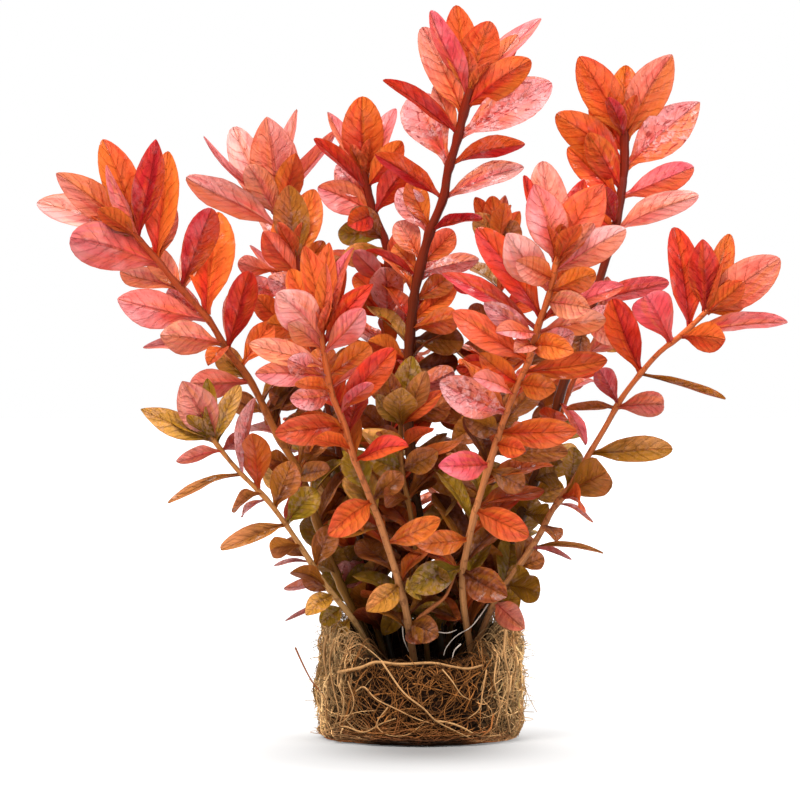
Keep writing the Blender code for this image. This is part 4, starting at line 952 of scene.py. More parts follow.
def seen(across, up, depth):
    """The place, in mm, that shows at this front-view point from this depth."""
    spread = (VIEW_DISTANCE + depth) / VIEW_DISTANCE
    return Vector((across * spread, depth, VIEW_HEIGHT + (up - VIEW_HEIGHT) * spread))


def shown(point):
    """The front-view point at which a place in mm shows."""
    spread = (VIEW_DISTANCE + point.y) / VIEW_DISTANCE
    return point.x / spread, VIEW_HEIGHT + (point.z - VIEW_HEIGHT) / spread


def eye():
    """Where the clump is seen from, in mm."""
    return Vector((0, -VIEW_DISTANCE, VIEW_HEIGHT))


def ease(value, low=0.0, high=1.0):
    """A smooth step from 0 at low to 1 at high."""
    t = min(1.0, max(0.0, (value - low) / (high - low)))
    return t * t * (3 - 2 * t)


def blend(one, other, share):
    """This share of the way from one colour to another."""
    return tuple(a + (b - a) * share for a, b in zip(one, other))


def smooth_path(points, step):
    """Points along a Catmull-Rom curve through the given ones, about this far apart."""
    ends = [points[0] * 2 - points[1]] + list(points) + [points[-1] * 2 - points[-2]]
    path = []
    for before, start, end, after in zip(ends, ends[1:], ends[2:], ends[3:]):
        pieces = max(1, round((end - start).length / step))
        for piece in range(pieces):
            t = piece / pieces
            path.append(0.5 * (
                2 * start
                + (end - before) * t
                + (2 * before - 5 * start + 4 * end - after) * t * t
                + (3 * start - before - 3 * end + after) * t ** 3))
    path.append(points[-1].copy())
    return path


# Pieces made of many small closed shapes


class Shape:
    """The points and faces of one piece, with what its finishes read at each point."""

    def __init__(self):
        self.points = []
        self.faces = []
        self.finishes = []
        self.tints = []
        self.marks = []

    def ring(self, points, tints, marks):
        """Adds points with their colours and marks, and gives the number of the first."""
        start = len(self.points)
        self.points.extend(points)
        self.tints.extend(tints)
        self.marks.extend(marks)
        return start

    def face(self, corners, finish):
        """Adds a face between these points, in the finish of this number."""
        self.faces.append(corners)
        self.finishes.append(finish)

    def bridge(self, one, other, size, finish):
        """Faces between two rings of points, each running round in the same sense."""
        for corner in range(size):
            following = (corner + 1) % size
            self.face((one + corner, one + following, other + following, other + corner), finish)

    def fan(self, ring, size, tip, finish):
        """Faces from a ring of points to one point past it."""
        for corner in range(size):
            self.face((ring + corner, ring + (corner + 1) % size, tip), finish)


# The numbers that the finishes read at each point of a mesh
MARKS = ("along", "across", "pink_reflection", "wear_and_wet_sheen", "chance")
UNMARKED = (0,) * len(MARKS)


def make_piece(name, shape, finishes, nodes, slot):
    """The object for a shape, riding on the clump's body and standing for the nodes that it covers."""
    mesh = bpy.data.meshes.new(name)
    mesh.from_pydata([tuple(point * MM) for point in shape.points], [], shape.faces)
    for finish in finishes:
        mesh.materials.append(finish)
    mesh.polygons.foreach_set("material_index", shape.finishes)
    mesh.polygons.foreach_set("use_smooth", [True] * len(mesh.polygons))
    tint = mesh.attributes.new("tint", "FLOAT_COLOR", "POINT")
    colours = np.ones((len(shape.points), 4), np.float32)
    colours[:, :3] = np.clip(np.array(shape.tints, np.float32), 0, 1)
    tint.data.foreach_set("color", colours.ravel())
    marks = np.array(shape.marks, np.float32)
    for column, mark in enumerate(MARKS):
        values = mesh.attributes.new(mark, "FLOAT", "POINT")
        values.data.foreach_set("value", np.ascontiguousarray(marks[:, column]))
    mesh.set_sharp_from_angle(angle=SHARP_ANGLE)
    mesh.update()
    piece = bpy.data.objects.new(name, mesh)
    bpy.context.scene.collection.objects.link(piece)
    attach(piece, BODY)
    if nodes:
        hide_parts(*nodes)


def square_to(along):
    """Two directions square to this one and to each other, the first as level across the view as can be."""
    side = along.cross(Vector((0, 1, 0)))
    if side.length < NEARLY_LEVEL:
        side = along.cross(Vector((0, 0, 1)))
    side.normalize()
    return side, along.cross(side)


def turned(side, other, turn):
    """The direction at this turn from the first of two square ones toward the second."""
    return side * math.cos(turn) + other * math.sin(turn)


def add_tube(shape, path, radii, sides, tint_at, finish, chance):
    """A closed round tube along a path, its colour given by tint_at(share along, turn round)."""
    count = len(path)
    length = 0.0
    rings = []
    for index, point in enumerate(path):
        along = (path[min(index + 1, count - 1)] - path[max(index - 1, 0)]).normalized()
        side, other = square_to(along)
        if index:
            length += (point - path[index - 1]).length
        share = index / (count - 1)
        points = []
        tints = []
        marks = []
        for corner in range(sides):
            turn = FULL_TURN * corner / sides
            points.append(point + turned(side, other, turn) * radii[index])
            tints.append(tint_at(share, turn))
            marks.append((length, turn, 0, 0, chance))
        rings.append(shape.ring(points, tints, marks))
    for one, other in zip(rings, rings[1:]):
        shape.bridge(one, other, sides, finish)
    shape.face(tuple(range(rings[0], rings[0] + sides))[::-1], finish)
    shape.face(tuple(range(rings[-1], rings[-1] + sides)), finish)


# Stems


def stem_axis(name):
    """The stem's middle line from foot to tip in points a millimetre apart, with the radius at each."""
    foot_depth, tip_depth, foot_radius, tip_radius, _, _, points = STEMS[name]
    low = points[0][1]
    high = points[-1][1]
    placed = []
    for across, up in points:
        share = (up - low) / (high - low)
        placed.append(seen(across, up, foot_depth + (tip_depth - foot_depth) * share))
    path = smooth_path(placed, 1.0)
    count = len(path) - 1
    return [(point, foot_radius + (tip_radius - foot_radius) * i / count) for i, point in enumerate(path)]


def split_of(name, axis):
    """The place along the axis where the crown starts."""
    height = STEMS[name][4]
    return min(range(len(axis)), key=lambda i: abs(axis[i][0].z - seen(0, height, axis[i][0].y).z))


def nearest_on(axis, across, up):
    """Where the middle line shows nearest to this front-view point: its place, radius, run and index."""
    def apart(index):
        shown_across, shown_up = shown(axis[index][0])
        return math.hypot(shown_across - across, shown_up - up)

    nearest = min(range(len(axis)), key=apart)
    index = max(STEM_END, min(nearest, len(axis) - 1 - STEM_END))
    along = (axis[index + 1][0] - axis[index - 1][0]).normalized()
    return axis[index][0], axis[index][1], along, index


def add_stem(shape, axis, joints, colours, span, rng):
    """A stretch of stem, a little thicker at its joints, that spans these shares of the whole one."""
    foot_tint, tip_tint = colours
    first, last = span
    low, high = axis[0][0].z, axis[-1][0].z
    stops = list(range(0, len(axis) - 1, STEM_STRIDE)) + [len(axis) - 1]
    path = [axis[index][0] for index in stops]
    radii = [stem_radius(axis, index, joints) for index in stops]

    def tint_at(share, turn):
        whole = first + (last - first) * share
        # Painted light and shade: one side of the stem lighter and the other darker, and its foot darker low
        # down
        lit = 1 + STEM_PAINTED_LIT_SIDE * math.cos(turn)
        lit *= STEM_FOOT_SHADE + (1 - STEM_FOOT_SHADE) * ease(low + (high - low) * share, *STEM_SHADED)
        return tuple(c * lit for c in blend(foot_tint, tip_tint, ease(whole, *STEM_TINT_RUN)))

    add_tube(shape, path, radii, STEM_SIDES, tint_at, STEM_FINISH, rng.random())


def stem_radius(axis, index, joints):
    """The stem's radius at this place, swollen near a joint."""
    swell = sum(math.exp(-((index - joint) / JOINT_LENGTH) ** 2) for joint in joints)
    return axis[index][1] * STEM_SLIM * (1 + JOINT_SWELL * min(1.0, swell))


# Leaves


def leaf_frame(base, tip, shown_width, stem_along):
    """The blade's side and upper directions and its true width, turned as it shows."""
    along = (tip - base).normalized()
    length = (tip - base).length
    to_eye = (eye() - (base + tip) / 2).normalized()
    facing = (to_eye - along * to_eye.dot(along)).normalized()
    natural = stem_along - along * stem_along.dot(along)
    if natural.length < NEARLY_NOTHING:
        natural = facing
    natural = natural.normalized()
    natural_width = LEAF_SLENDERNESS * length
    width = shown_width
    if width < natural_width:
        width += (natural_width - width) * ease(width / natural_width, *EDGE_ON)
    roll = math.acos(min(1.0, shown_width / width))
    choices = []
    for sign in (1, -1):
        normal = facing * math.cos(roll) + along.cross(facing) * math.sin(roll) * sign
        choices.append((abs(normal.dot(natural)), normal))
    upper = max(choices, key=lambda choice: choice[0])[1]
    if upper.dot(natural) < 0:
        upper = -upper
    return along.cross(upper), upper, width


def natural_frame(base, tip, stem_along):
    """The same for a blade that turns its upper side toward the stem's tip."""
    along = (tip - base).normalized()
    upper = (stem_along - along * stem_along.dot(along)).normalized()
    return along.cross(upper), upper, INNER_LEAF_WIDTH * (tip - base).length


def outline(t, blunt, widest):
    """The half width of a blade at this share of its length, widest past the middle and round at the tip."""
    full = math.sin(math.pi * min(1.0, t) ** widest) ** blunt
    return max(LEAF_NECK * (1 - t), full * (LEAF_WAIST + (1 - LEAF_WAIST) * ease(t, 0.0, FULL_WIDTH_AT)))


def tip_place(node, across, up):
    """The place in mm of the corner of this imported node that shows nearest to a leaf's tip."""
    def apart(place):
        shown_across, shown_up = shown(place)
        return math.hypot(shown_across - across, shown_up - up)

    corners = [corner.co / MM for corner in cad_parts[node].data.vertices]
    return seen(across, up, min(corners, key=apart).y)


def add_leaf(shape, base, tip, facing, tint, young, rng):
    """A blade with a folded midrib, a bent length and rippled edges, as one closed shape."""
    look = bpy.context.scene.rotala_colours
    sizes = bpy.context.scene.rotala_sizes
    side, upper, width = facing
    length = (tip - base).length
    inner = tuple(getattr(look, tint + "_foot"))
    outer = tuple(getattr(look, tint + "_tip"))
    family, pink_reflection, wear_and_wet_sheen = LEAF_KINDS[tint]
    habit = YOUNG_LEAF if young else OLD_LEAF
    light = rng.uniform(*habit["light"])
    fold = math.tan(sizes.leaf_fold) * rng.uniform(*LEAF_FOLDS)
    arch = rng.uniform(*habit["arch"])
    bend = rng.uniform(*LEAF_BEND)
    twist = rng.uniform(-LEAF_TWIST, LEAF_TWIST)
    ripple = rng.uniform(*habit["ripple"])
    turns = rng.uniform(*RIPPLE_TURNS)
    phase = rng.uniform(0, FULL_TURN)
    sway = rng.uniform(-LEAF_SWAY, LEAF_SWAY)
    blunt = rng.uniform(*habit["blunt"])
    widest = LEAF_WIDEST if young else rng.uniform(*OLD_LEAF_WIDEST)
    chance = rng.random()
    pink_reflection = pink_reflection * rng.uniform(*LEAF_REFLECTIONS)
    edge = sizes.leaf_edge / MM
    middle_thick = sizes.leaf_thickness / MM
    rib = sizes.leaf_rib / MM
    rings = []
    for station in range(LEAF_RINGS):
        t = 0.5 - 0.5 * math.cos(math.pi * station / LEAF_RINGS)
        half = width / 2 * outline(t, blunt, widest)
        rise = length * (arch * 4 * t * (1 - t) + bend * math.sin(FULL_TURN * t))
        drift = length * sway * math.sin(math.pi * t)
        middle = base.lerp(tip, t) + upper * rise + side * drift
        lean = twist * (t - LEAF_TWIST_MIDDLE)
        out = turned(side, upper, lean)
        up = turned(upper, -side, lean)
        above = []
        below = []
        for s in LEAF_COLUMNS:
            wave = math.sin(FULL_TURN * turns * t + phase + (RIPPLE_OFFSET if s > 0 else 0))
            lift = half * (fold * abs(s) ** LEAF_LIFT - LEAF_CURL * s ** 4) + ripple * half * s * s * wave
            groove = LEAF_GROOVE * math.exp(-(s / GROOVE_WIDTH) ** 2) * (1 - GROOVE_FADES * t)
            point = middle + out * (half * s) + up * (lift - groove)
            thick = edge + (middle_thick - edge) * (1 - s * s)
            thick += rib * math.exp(-(s / RIB_WIDTH) ** 2) * (1 - RIB_FADES * t)
            above.append(point)
            below.append(point - up * thick)
        colours_above = []
        colours_below = []
        for s in LEAF_COLUMNS:
            share = ease(t + TINT_EDGES * (abs(s) - 0.5), *TINT_RUN)
            colour = tuple(c * light for c in blend(inner, outer, share))
            colours_above.append(colour)
            colours_below.append(blend(colour, tuple(look.underside), LEAF_UNDERSIDE))
        points = above + below[-2:0:-1]
        tints = colours_above + colours_below[-2:0:-1]
        spots = list(LEAF_COLUMNS) + list(LEAF_COLUMNS[-2:0:-1])
        marks = [(t, s, pink_reflection, wear_and_wet_sheen, chance) for s in spots]
        rings.append(shape.ring(points, tints, marks))
    size = 2 * len(LEAF_COLUMNS) - 2
    for one, other in zip(rings, rings[1:]):
        shape.bridge(one, other, size, family)
    end_colour = tuple(c * light for c in outer)
    end = shape.ring([tip], [end_colour], [(1.0, 0.0, pink_reflection, wear_and_wet_sheen, chance)])
    shape.fan(rings[-1], size, end, family)
    shape.face(tuple(range(rings[0], rings[0] + size))[::-1], family)


def add_bud(shape, axis, tint, rng):
    """The small unopened leaves at the very tip of a shoot."""
    tip = axis[-1][0]
    along = (tip - axis[-BUD_RUN][0]).normalized()
    side, other = square_to(along)
    start = rng.uniform(0, math.pi)
    for number in range(BUD_LEAVES):
        share = number / (BUD_LEAVES - 1)
        turn = start + number * math.pi / 2 + (math.pi / 4 if number >= BUD_LEAVES / 2 else 0)
        out = turned(side, other, turn)
        length = (BUD_LENGTH[0] + (BUD_LENGTH[1] - BUD_LENGTH[0]) * share) * rng.uniform(*BUD_LENGTH_SPREAD)
        lean = BUD_LEAN[0] + (BUD_LEAN[1] - BUD_LEAN[0]) * share ** BUD_OPENS_LATE
        direction = (along + out * lean).normalized()
        base = tip - along * BUD_SUNK + out * BUD_ASIDE
        end = base + direction * length
        add_leaf(shape, base, end, natural_frame(base, end, along), tint, True, rng)


def inside(across, up):
    """Whether a front-view point lies in the dense middle of the clump."""
    if not INNER_EDGES[0][1] <= up <= INNER_EDGES[-1][1]:
        return False
    for (left, low, right), (next_left, high, next_right) in zip(INNER_EDGES, INNER_EDGES[1:]):
        if up <= high:
            share = (up - low) / (high - low)
            return left + (next_left - left) * share < across < right + (next_right - right) * share
    return False


def add_inner_leaves(shape, name, axis, split, joints):
    """Pairs of leaves at the stem's bare joints, which fill the middle and the back of the clump."""
    rng = random.Random(f"{name} inner")
    turn = rng.uniform(0, math.pi)
    index = rng.randrange(*INNER_FIRST)
    while index < split - INNER_LAST:
        base, radius = axis[index]
        along = (axis[index + 1][0] - axis[index - 1][0]).normalized()
        side, other = square_to(along)
        turn += math.pi / 2 + rng.uniform(-INNER_TURN, INNER_TURN)
        taken = min(abs(index - joint) for joint in joints) < INNER_CLEAR
        for opposite in (0, math.pi):
            out = turned(side, other, turn + opposite)
            pitch = rng.uniform(*INNER_PITCH)
            length = rng.uniform(*INNER_LEAF_LENGTH)
            direction = out * math.sin(pitch) + along * math.cos(pitch)
            tip = base + direction * length
            number = rng.random()
            backward = INNER_BACKWARD if taken or name in FRONT_STEMS else -1
            if out.y > backward and inside(*shown(base)) and inside(*shown(tip)):
                tints = next(row[1] for row in INNER_TINTS if base.z < row[0])
                tint = tints[int(number * len(tints))]
                start = base + direction * radius * LEAF_START
                add_leaf(shape, start, tip, natural_frame(start, tip, along), tint, False, rng)
        index += rng.randrange(*INNER_SPACING)


# Roots


def rim_height(turn):
    """The plug's rim stands high at its sides and back, and lies low at the front."""
    front = max(0.0, -math.sin(turn))
    return PLUG_RIM_SIDE + (PLUG_RIM_FRONT - PLUG_RIM_SIDE) * front ** RIM_FALL


def wall_radius(turn, height):
    """The plug's outer radius at this height."""
    rise = min(1.0, max(0.0, height / rim_height(turn)))
    for (share, low), (following, high) in zip(PLUG_PROFILE, PLUG_PROFILE[1:]):
        if rise <= high:
            return PLUG_RADIUS * (share + (following - share) * (rise - low) / (high - low))
    return PLUG_RADIUS * PLUG_PROFILE[-1][0]


def lump(point, size):
    """A smooth random swelling from -1 to 1, with lumps of about this size."""
    return noise.noise(point / size)


def round_plug(turn, radius, height):
    """The place at this turn round the plug, this far from its middle line."""
    return Vector((radius * math.cos(turn), radius * math.sin(turn), height))


def on_wall(turn, height, out):
    """The place at this turn and height on the plug's wall, this far out of it."""
    radius = wall_radius(turn, height)
    radius += out + WALL_LUMP * lump(round_plug(turn, radius, height), WALL_LUMP_SIZE)
    return round_plug(turn, radius, height)


def on_front(across, up, out):
    """The place on the front of the plug that shows at this front-view point."""
    depth = -PLUG_RADIUS
    for _ in range(FRONT_TRIES):
        place = seen(across, up, depth)
        height = min(max(place.z, 0.0), PLUG_RIM_FRONT)
        turn = math.atan2(-math.sqrt(max(FRONT_NEAREST[0], PLUG_RADIUS ** 2 - place.x ** 2)), place.x)
        radius = wall_radius(turn, height) + out
        depth = -math.sqrt(max(FRONT_NEAREST[1], radius ** 2 - place.x ** 2))
    return seen(across, up, depth)


def root_tint(turn, height, chance):
    """Straw at the sides of the plug, brown at its front, red-brown in the mat under it."""
    look = bpy.context.scene.rotala_colours
    side = ease(abs(math.cos(turn)), *ROOT_SIDE)
    if math.sin(turn) > 0:
        side = max(side, ROOT_BACK_SIDE)
    tint = blend(look.root_front, look.root_side, side)
    tint = blend(tint, look.root_mat, ROOT_MAT_TINT * (1 - ease(height, *ROOT_MAT_HEIGHT)))
    least, spread, power = ROOT_LIGHT
    light = least + spread * chance ** power
    return tuple(c * light for c in tint)


def foot_shade(point):
    """How much light reaches a root: least under the middle of the front."""
    if point.y > 0:
        return 1.0
    low = 1 - ease(point.z, *FRONT_FOOT)
    return 1 - FRONT_FOOT_SHADE * low * (1 - ease(abs(point.x), *FRONT_FOOT_WIDTH))


def add_root(shape, path, thick, sides, rng, tint=None, taper=ROOT_TAPER, end_light=ROOT_END_LIGHT):
    """One root: a thin tube, thickest at its start and darker toward its end."""
    chance = rng.random()
    count = len(path)
    radii = [thick / 2 * (1 - (1 - taper) * i / (count - 1)) for i in range(count)]
    middle = path[count // 2]
    turn = math.atan2(middle.y, middle.x)
    colour = tint or root_tint(turn, middle.z, chance)
    darker = tuple(c * end_light for c in colour)

    def tint_at(share, _):
        lit = foot_shade(path[round(share * (count - 1))])
        return tuple(c * lit for c in blend(colour, darker, share))

    add_tube(shape, path, radii, sides, tint_at, 0, chance)


def either_way(rng):
    """Half a turn or none, for a root that may run either way."""
    return math.pi if rng.random() < 0.5 else 0


def wandering(rng, turn, height, heading, length, out, restless):
    """A path over the plug's wall that keeps turning one way and another."""
    path = []
    bend = rng.uniform(-restless, restless)
    wave = rng.uniform(0, FULL_TURN)
    steps = max(ROOT_FEWEST_STEPS, int(length / ROOT_STEP))
    for step in range(steps):
        lift = out + ROOT_WEAVE * math.sin(wave + step * ROOT_WEAVE_TURN)
        path.append(on_wall(turn, height, lift))
        turn += math.cos(heading) * ROOT_STEP / PLUG_RADIUS
        height += math.sin(heading) * ROOT_STEP
        heading += bend * ROOT_STEP
        bend = ROOT_BEND_KEPT * bend + rng.uniform(-restless, restless) * ROOT_BEND_NEW
        top = rim_height(turn) - ROOT_BELOW_RIM
        if height < ROOT_FLOOR or height > top:
            height = min(max(height, ROOT_FLOOR), top)
            heading = -heading + rng.uniform(-ROOT_REBOUND, ROOT_REBOUND)
    return path


def root_core(shape):
    """The lumpy mass behind the roots, with the dish on top where the stems come out."""
    sides = CORE_SIDES
    rows = [("wall", row / CORE_ROWS) for row in range(CORE_ROWS + 1)]
    rows += [("dish", row / CORE_TOP_ROWS) for row in range(1, CORE_TOP_ROWS + 1)]
    rings = []
    look = bpy.context.scene.rotala_colours
    for kind, share in rows:
        points = []
        tints = []
        for corner in range(sides):
            turn = FULL_TURN * corner / sides
            rim = rim_height(turn)
            if kind == "wall":
                height = rim * share
                radius = wall_radius(turn, height) - CORE_INSET
            else:
                radius = (PLUG_RADIUS * PLUG_PROFILE[-1][0] - CORE_INSET) * (1 - share) + CORE_MIDDLE * share
                height = rim + (PLUG_DISH_FLOOR - rim) * ease(math.sqrt(share), 0.0, CORE_DISH_EDGE)
            point = round_plug(turn, radius, height)
            bump = sum(rise * lump(point + Vector(aside), size) for rise, size, aside in CORE_LUMPS)
            if kind == "wall":
                radius += bump * (CORE_FOOT_LUMPS + (1 - CORE_FOOT_LUMPS) * ease(share, 0.0, CORE_FOOT))
                point = round_plug(turn, radius, height)
                if share > 0:
                    point.z += CORE_WALL_LIFT * bump
            else:
                point.z += CORE_DISH_LUMP * bump
            points.append(point)
            side = ease(abs(math.cos(turn)), *CORE_SIDE)
            strawness = CORE_WALL_SIDE_TINT if kind == "wall" else CORE_DISH_SIDE_TINT
            # Painted shade: the packed mass is dark brown taken to near black, for the shade between the
            # roots and in the dish
            tints.append(blend(look.core, look.root_side, strawness * side))
        rings.append(shape.ring(points, tints, [UNMARKED] * sides))
    for one, other in zip(rings, rings[1:]):
        shape.bridge(one, other, sides, 0)
    shape.face(tuple(range(rings[0], rings[0] + sides))[::-1], 0)
    shape.face(tuple(range(rings[-1], rings[-1] + sides)), 0)


def root_net(shape, rng, count):
    """Roots that wander all over the wall: upright ones at the sides, finer and curlier ones at the front."""
    for _ in range(count):
        turn = rng.uniform(0, FULL_TURN)
        height = rng.uniform(ROOT_FLOOR, rim_height(turn))
        flip = either_way(rng)
        at_side = abs(math.cos(turn)) > SIDE_TURN
        if not at_side and math.sin(turn) < FRONT_TURN and rng.random() < FRONT_BARE:
            continue
        run, spread, lengths, thicknesses, outs, restless = SIDE_NET if at_side else FRONT_NET
        heading = rng.gauss(run, spread) + flip
        length = rng.uniform(*lengths)
        thick = rng.choice(thicknesses)
        path = wandering(rng, turn, height, heading, length, rng.uniform(*outs), restless)
        add_root(shape, path, thick, FIBRE_SIDES, rng)


def root_band(shape, rng, count):
    """The flat mat of roots that runs round the foot of the plug."""
    for _ in range(count):
        turn = rng.uniform(0, FULL_TURN)
        height = abs(rng.gauss(0, BAND_HEIGHT)) + ROOT_FLOOR
        heading = rng.uniform(-BAND_SLOPE, BAND_SLOPE) + either_way(rng)
        length = rng.uniform(*BAND_LENGTH)
        path = wandering(rng, turn, height, heading, length, rng.uniform(*BAND_OUT), BAND_RESTLESS)
        add_root(shape, path, rng.uniform(*BAND_THICK), BAND_SIDES, rng)


def root_fuzz(shape, rng, count):
    """Short curled roots that stand off the sides and the rim."""
    for _ in range(count):
        turn = rng.uniform(0, FULL_TURN)
        rim = rim_height(turn)
        side = ease(abs(math.cos(turn)), *FUZZ_SIDE)
        if math.sin(turn) > 0:
            side = max(side, FUZZ_BACK_SIDE)
        if rng.random() > FUZZ_AT_FRONT + (1 - FUZZ_AT_FRONT) * side:
            continue
        height = rim * rng.random() ** FUZZ_LOWNESS
        start = on_wall(turn, height, 0.0)
        outward = round_plug(turn, 1.0, 0.0)
        round_it = Vector((-math.sin(turn), math.cos(turn), 0))
        longest, rareness = FUZZ_LONG_REACH
        reach = rng.uniform(*FUZZ_REACH) + longest * rng.random() ** rareness
        run = rng.uniform(*FUZZ_RUN)
        rise = rng.uniform(*(FUZZ_RISE if height > FUZZ_LOW else FUZZ_LOW_RISE))
        run_bowed, rise_bowed = run * FUZZ_BOW[0], rise * FUZZ_BOW[1]
        bowed = start + outward * reach + round_it * run_bowed + Vector((0, 0, rise_bowed))
        end = start + outward * reach * rng.uniform(*FUZZ_CURL) + round_it * run + Vector((0, 0, rise))
        end.z = max(end.z, ROOT_FLOOR)
        path = smooth_path([start - outward * FUZZ_SUNK, bowed, end], FUZZ_STEP)
        add_root(shape, path, rng.uniform(*FUZZ_THICK), FIBRE_SIDES, rng)


def root_top(shape, rng, count):
    """Roots and bits of moss that arch over the rim into the dish, darkening there to painted shade."""
    look = bpy.context.scene.rotala_colours
    for _ in range(count):
        turn = rng.uniform(0, FULL_TURN)
        rim = rim_height(turn)
        side = abs(math.cos(turn)) > TOP_SIDE
        if not side and rng.random() < TOP_BARE:
            continue
        over = rng.uniform(*(TOP_SIDE_ARCH if side else TOP_FRONT_ARCH))
        outer = on_wall(turn, rim * rng.uniform(*TOP_START), TOP_OUT)
        crest_radius = PLUG_RADIUS * rng.uniform(*TOP_CREST)
        sweep = turn + rng.uniform(-TOP_SWEEP, TOP_SWEEP)
        crest = round_plug(sweep, crest_radius, rim + over)
        sweep += rng.uniform(-TOP_INNER_SWEEP, TOP_INNER_SWEEP)
        inner_radius = rng.uniform(*TOP_INNER) * PLUG_RADIUS
        inner = round_plug(sweep, inner_radius, PLUG_DISH_FLOOR + rng.uniform(*TOP_INNER_HEIGHT))
        path = smooth_path([outer, crest, inner], TOP_STEP)
        # Painted shade: these roots darken toward their ends in the dish, and the front ones start partly in
        # the packed mass's near-black
        tint = None if side else blend(look.core, look.root_front, rng.uniform(*TOP_TINT))
        add_root(shape, path, rng.uniform(*TOP_THICK), FIBRE_SIDES, rng, tint, end_light=TOP_END_PAINTED_SHADE)
    for _ in range(count):
        turn = rng.uniform(0, FULL_TURN)
        radius = PLUG_DISH_RADIUS * math.sqrt(rng.random())
        start = round_plug(turn, radius, PLUG_DISH_FLOOR + DISH_LIFT)
        heading = rng.uniform(0, FULL_TURN)
        run = round_plug(heading, 1.0, 0.0) * rng.uniform(*DISH_RUN)
        middle = start + run * 0.5 + Vector((0, 0, rng.uniform(*DISH_ARCH)))
        path = smooth_path([start, middle, start + run], TOP_STEP)
        # Painted shade: the dish roots take in some of the near-black of the packed mass
        tint = blend(look.core, look.root_front, rng.uniform(*DISH_TINT))
        add_root(shape, path, rng.uniform(*DISH_THICK), FIBRE_SIDES, rng, tint)


def runner_path(points, out):
    """The path of a long root that shows at these front-view points on the plug's front."""
    return smooth_path([on_front(across, up, out) for across, up in points], LONG_ROOT_STEP)


def free_path(points):
    """The path of a root given by front-view points with their depth."""
    return smooth_path([seen(across, up, depth) for across, up, depth in points], LONG_ROOT_STEP)


# Finishes


class Wire:
    """An output of a node in a finish, which sums and products take like a number."""

    def __init__(self, tree, socket=None):
        self.tree = tree
        self.socket = socket

    def node(self, kind, settings=None, values=None, output=0):
        """A new node of this kind with these settings and socket values, as one of its outputs."""
        made = self.tree.nodes.new(kind)
        for name, value in (settings or {}).items():
            setattr(made, name, value)
        for name, value in (values or {}).items():
            if isinstance(value, Wire):
                self.tree.links.new(value.socket, made.inputs[name])
            else:
                made.inputs[name].default_value = value
        return Wire(self.tree, made.outputs[output])

    def maths(self, operation, *values):
        """The outcome of this operation on numbers."""
        return self.node("ShaderNodeMath", {"operation": operation}, dict(enumerate(values)))

    def __add__(self, other):
        return self.maths("ADD", self, other)

    def __sub__(self, other):
        return self.maths("SUBTRACT", self, other)

    def __mul__(self, other):
        return self.maths("MULTIPLY", self, other)

    def __rsub__(self, other):
        return self.maths("SUBTRACT", other, self)

    __radd__ = __add__
    __rmul__ = __mul__

    def step(self, low, high):
        """A smooth step from 0 at low to 1 at high."""
        values = {"Value": self, "From Min": low, "From Max": high}
        return self.node("ShaderNodeMapRange", {"interpolation_type": "SMOOTHSTEP"}, values)

    def mixed(self, other, share):
        """This colour turned into another one by this share."""
        values = {0: share, 6: self, 7: (*other, 1) if isinstance(other, tuple) else other}
        return self.node("ShaderNodeMix", {"data_type": "RGBA"}, values, 2)

    def scaled(self, by):
        """This colour made lighter or darker."""
        return self.node("ShaderNodeVectorMath", {"operation": "SCALE"}, {0: self, "Scale": by})

    def mark(self, name):
        """A number that the mesh holds at each point."""
        return self.node("ShaderNodeAttribute", {"attribute_name": name}, output="Fac")

    def tint(self):
        """The colour that the mesh holds at each point."""
        return self.node("ShaderNodeAttribute", {"attribute_name": "tint"}, output="Color")

    def grain(self, scale, detail=2.0, vector=None):
        """A noise pattern of this many grains to the metre, or of this scale along a given vector."""
        where = vector or self.node("ShaderNodeTexCoord", output="Object")
        values = {"Vector": where, "Scale": scale, "Detail": detail}
        return self.node("ShaderNodeTexNoise", None, values)

    def place(self, x, y, z):
        """The place with these three parts, which a noise pattern can be laid along."""
        return self.node("ShaderNodeCombineXYZ", None, {"X": x, "Y": y, "Z": z})

    def bump(self, height, strength, distance):
        """The surface's direction where this pattern raises it."""
        values = {"Strength": strength, "Distance": distance, "Height": height}
        return self.node("ShaderNodeBump", None, values)

    def body(self, colour, rough, specular, others=None):
        """A surface of this colour, roughness and gloss, with these further socket values."""
        values = {"Base Color": colour, "Roughness": rough, "Specular IOR Level": specular, **(others or {})}
        return self.node("ShaderNodeBsdfPrincipled", None, values, "BSDF")

    def ends(self, kind):
        """Makes this the surface that the tree shows, through an output node of this kind."""
        end = self.tree.nodes.new(kind)
        self.tree.links.new(self.socket, end.inputs["Surface"])


def new_finish(name):
    """An empty finish, and the start of its wires."""
    finish = bpy.data.materials.new(name)
    finish.use_nodes = True
    finish.node_tree.nodes.clear()
    return finish, Wire(finish.node_tree)


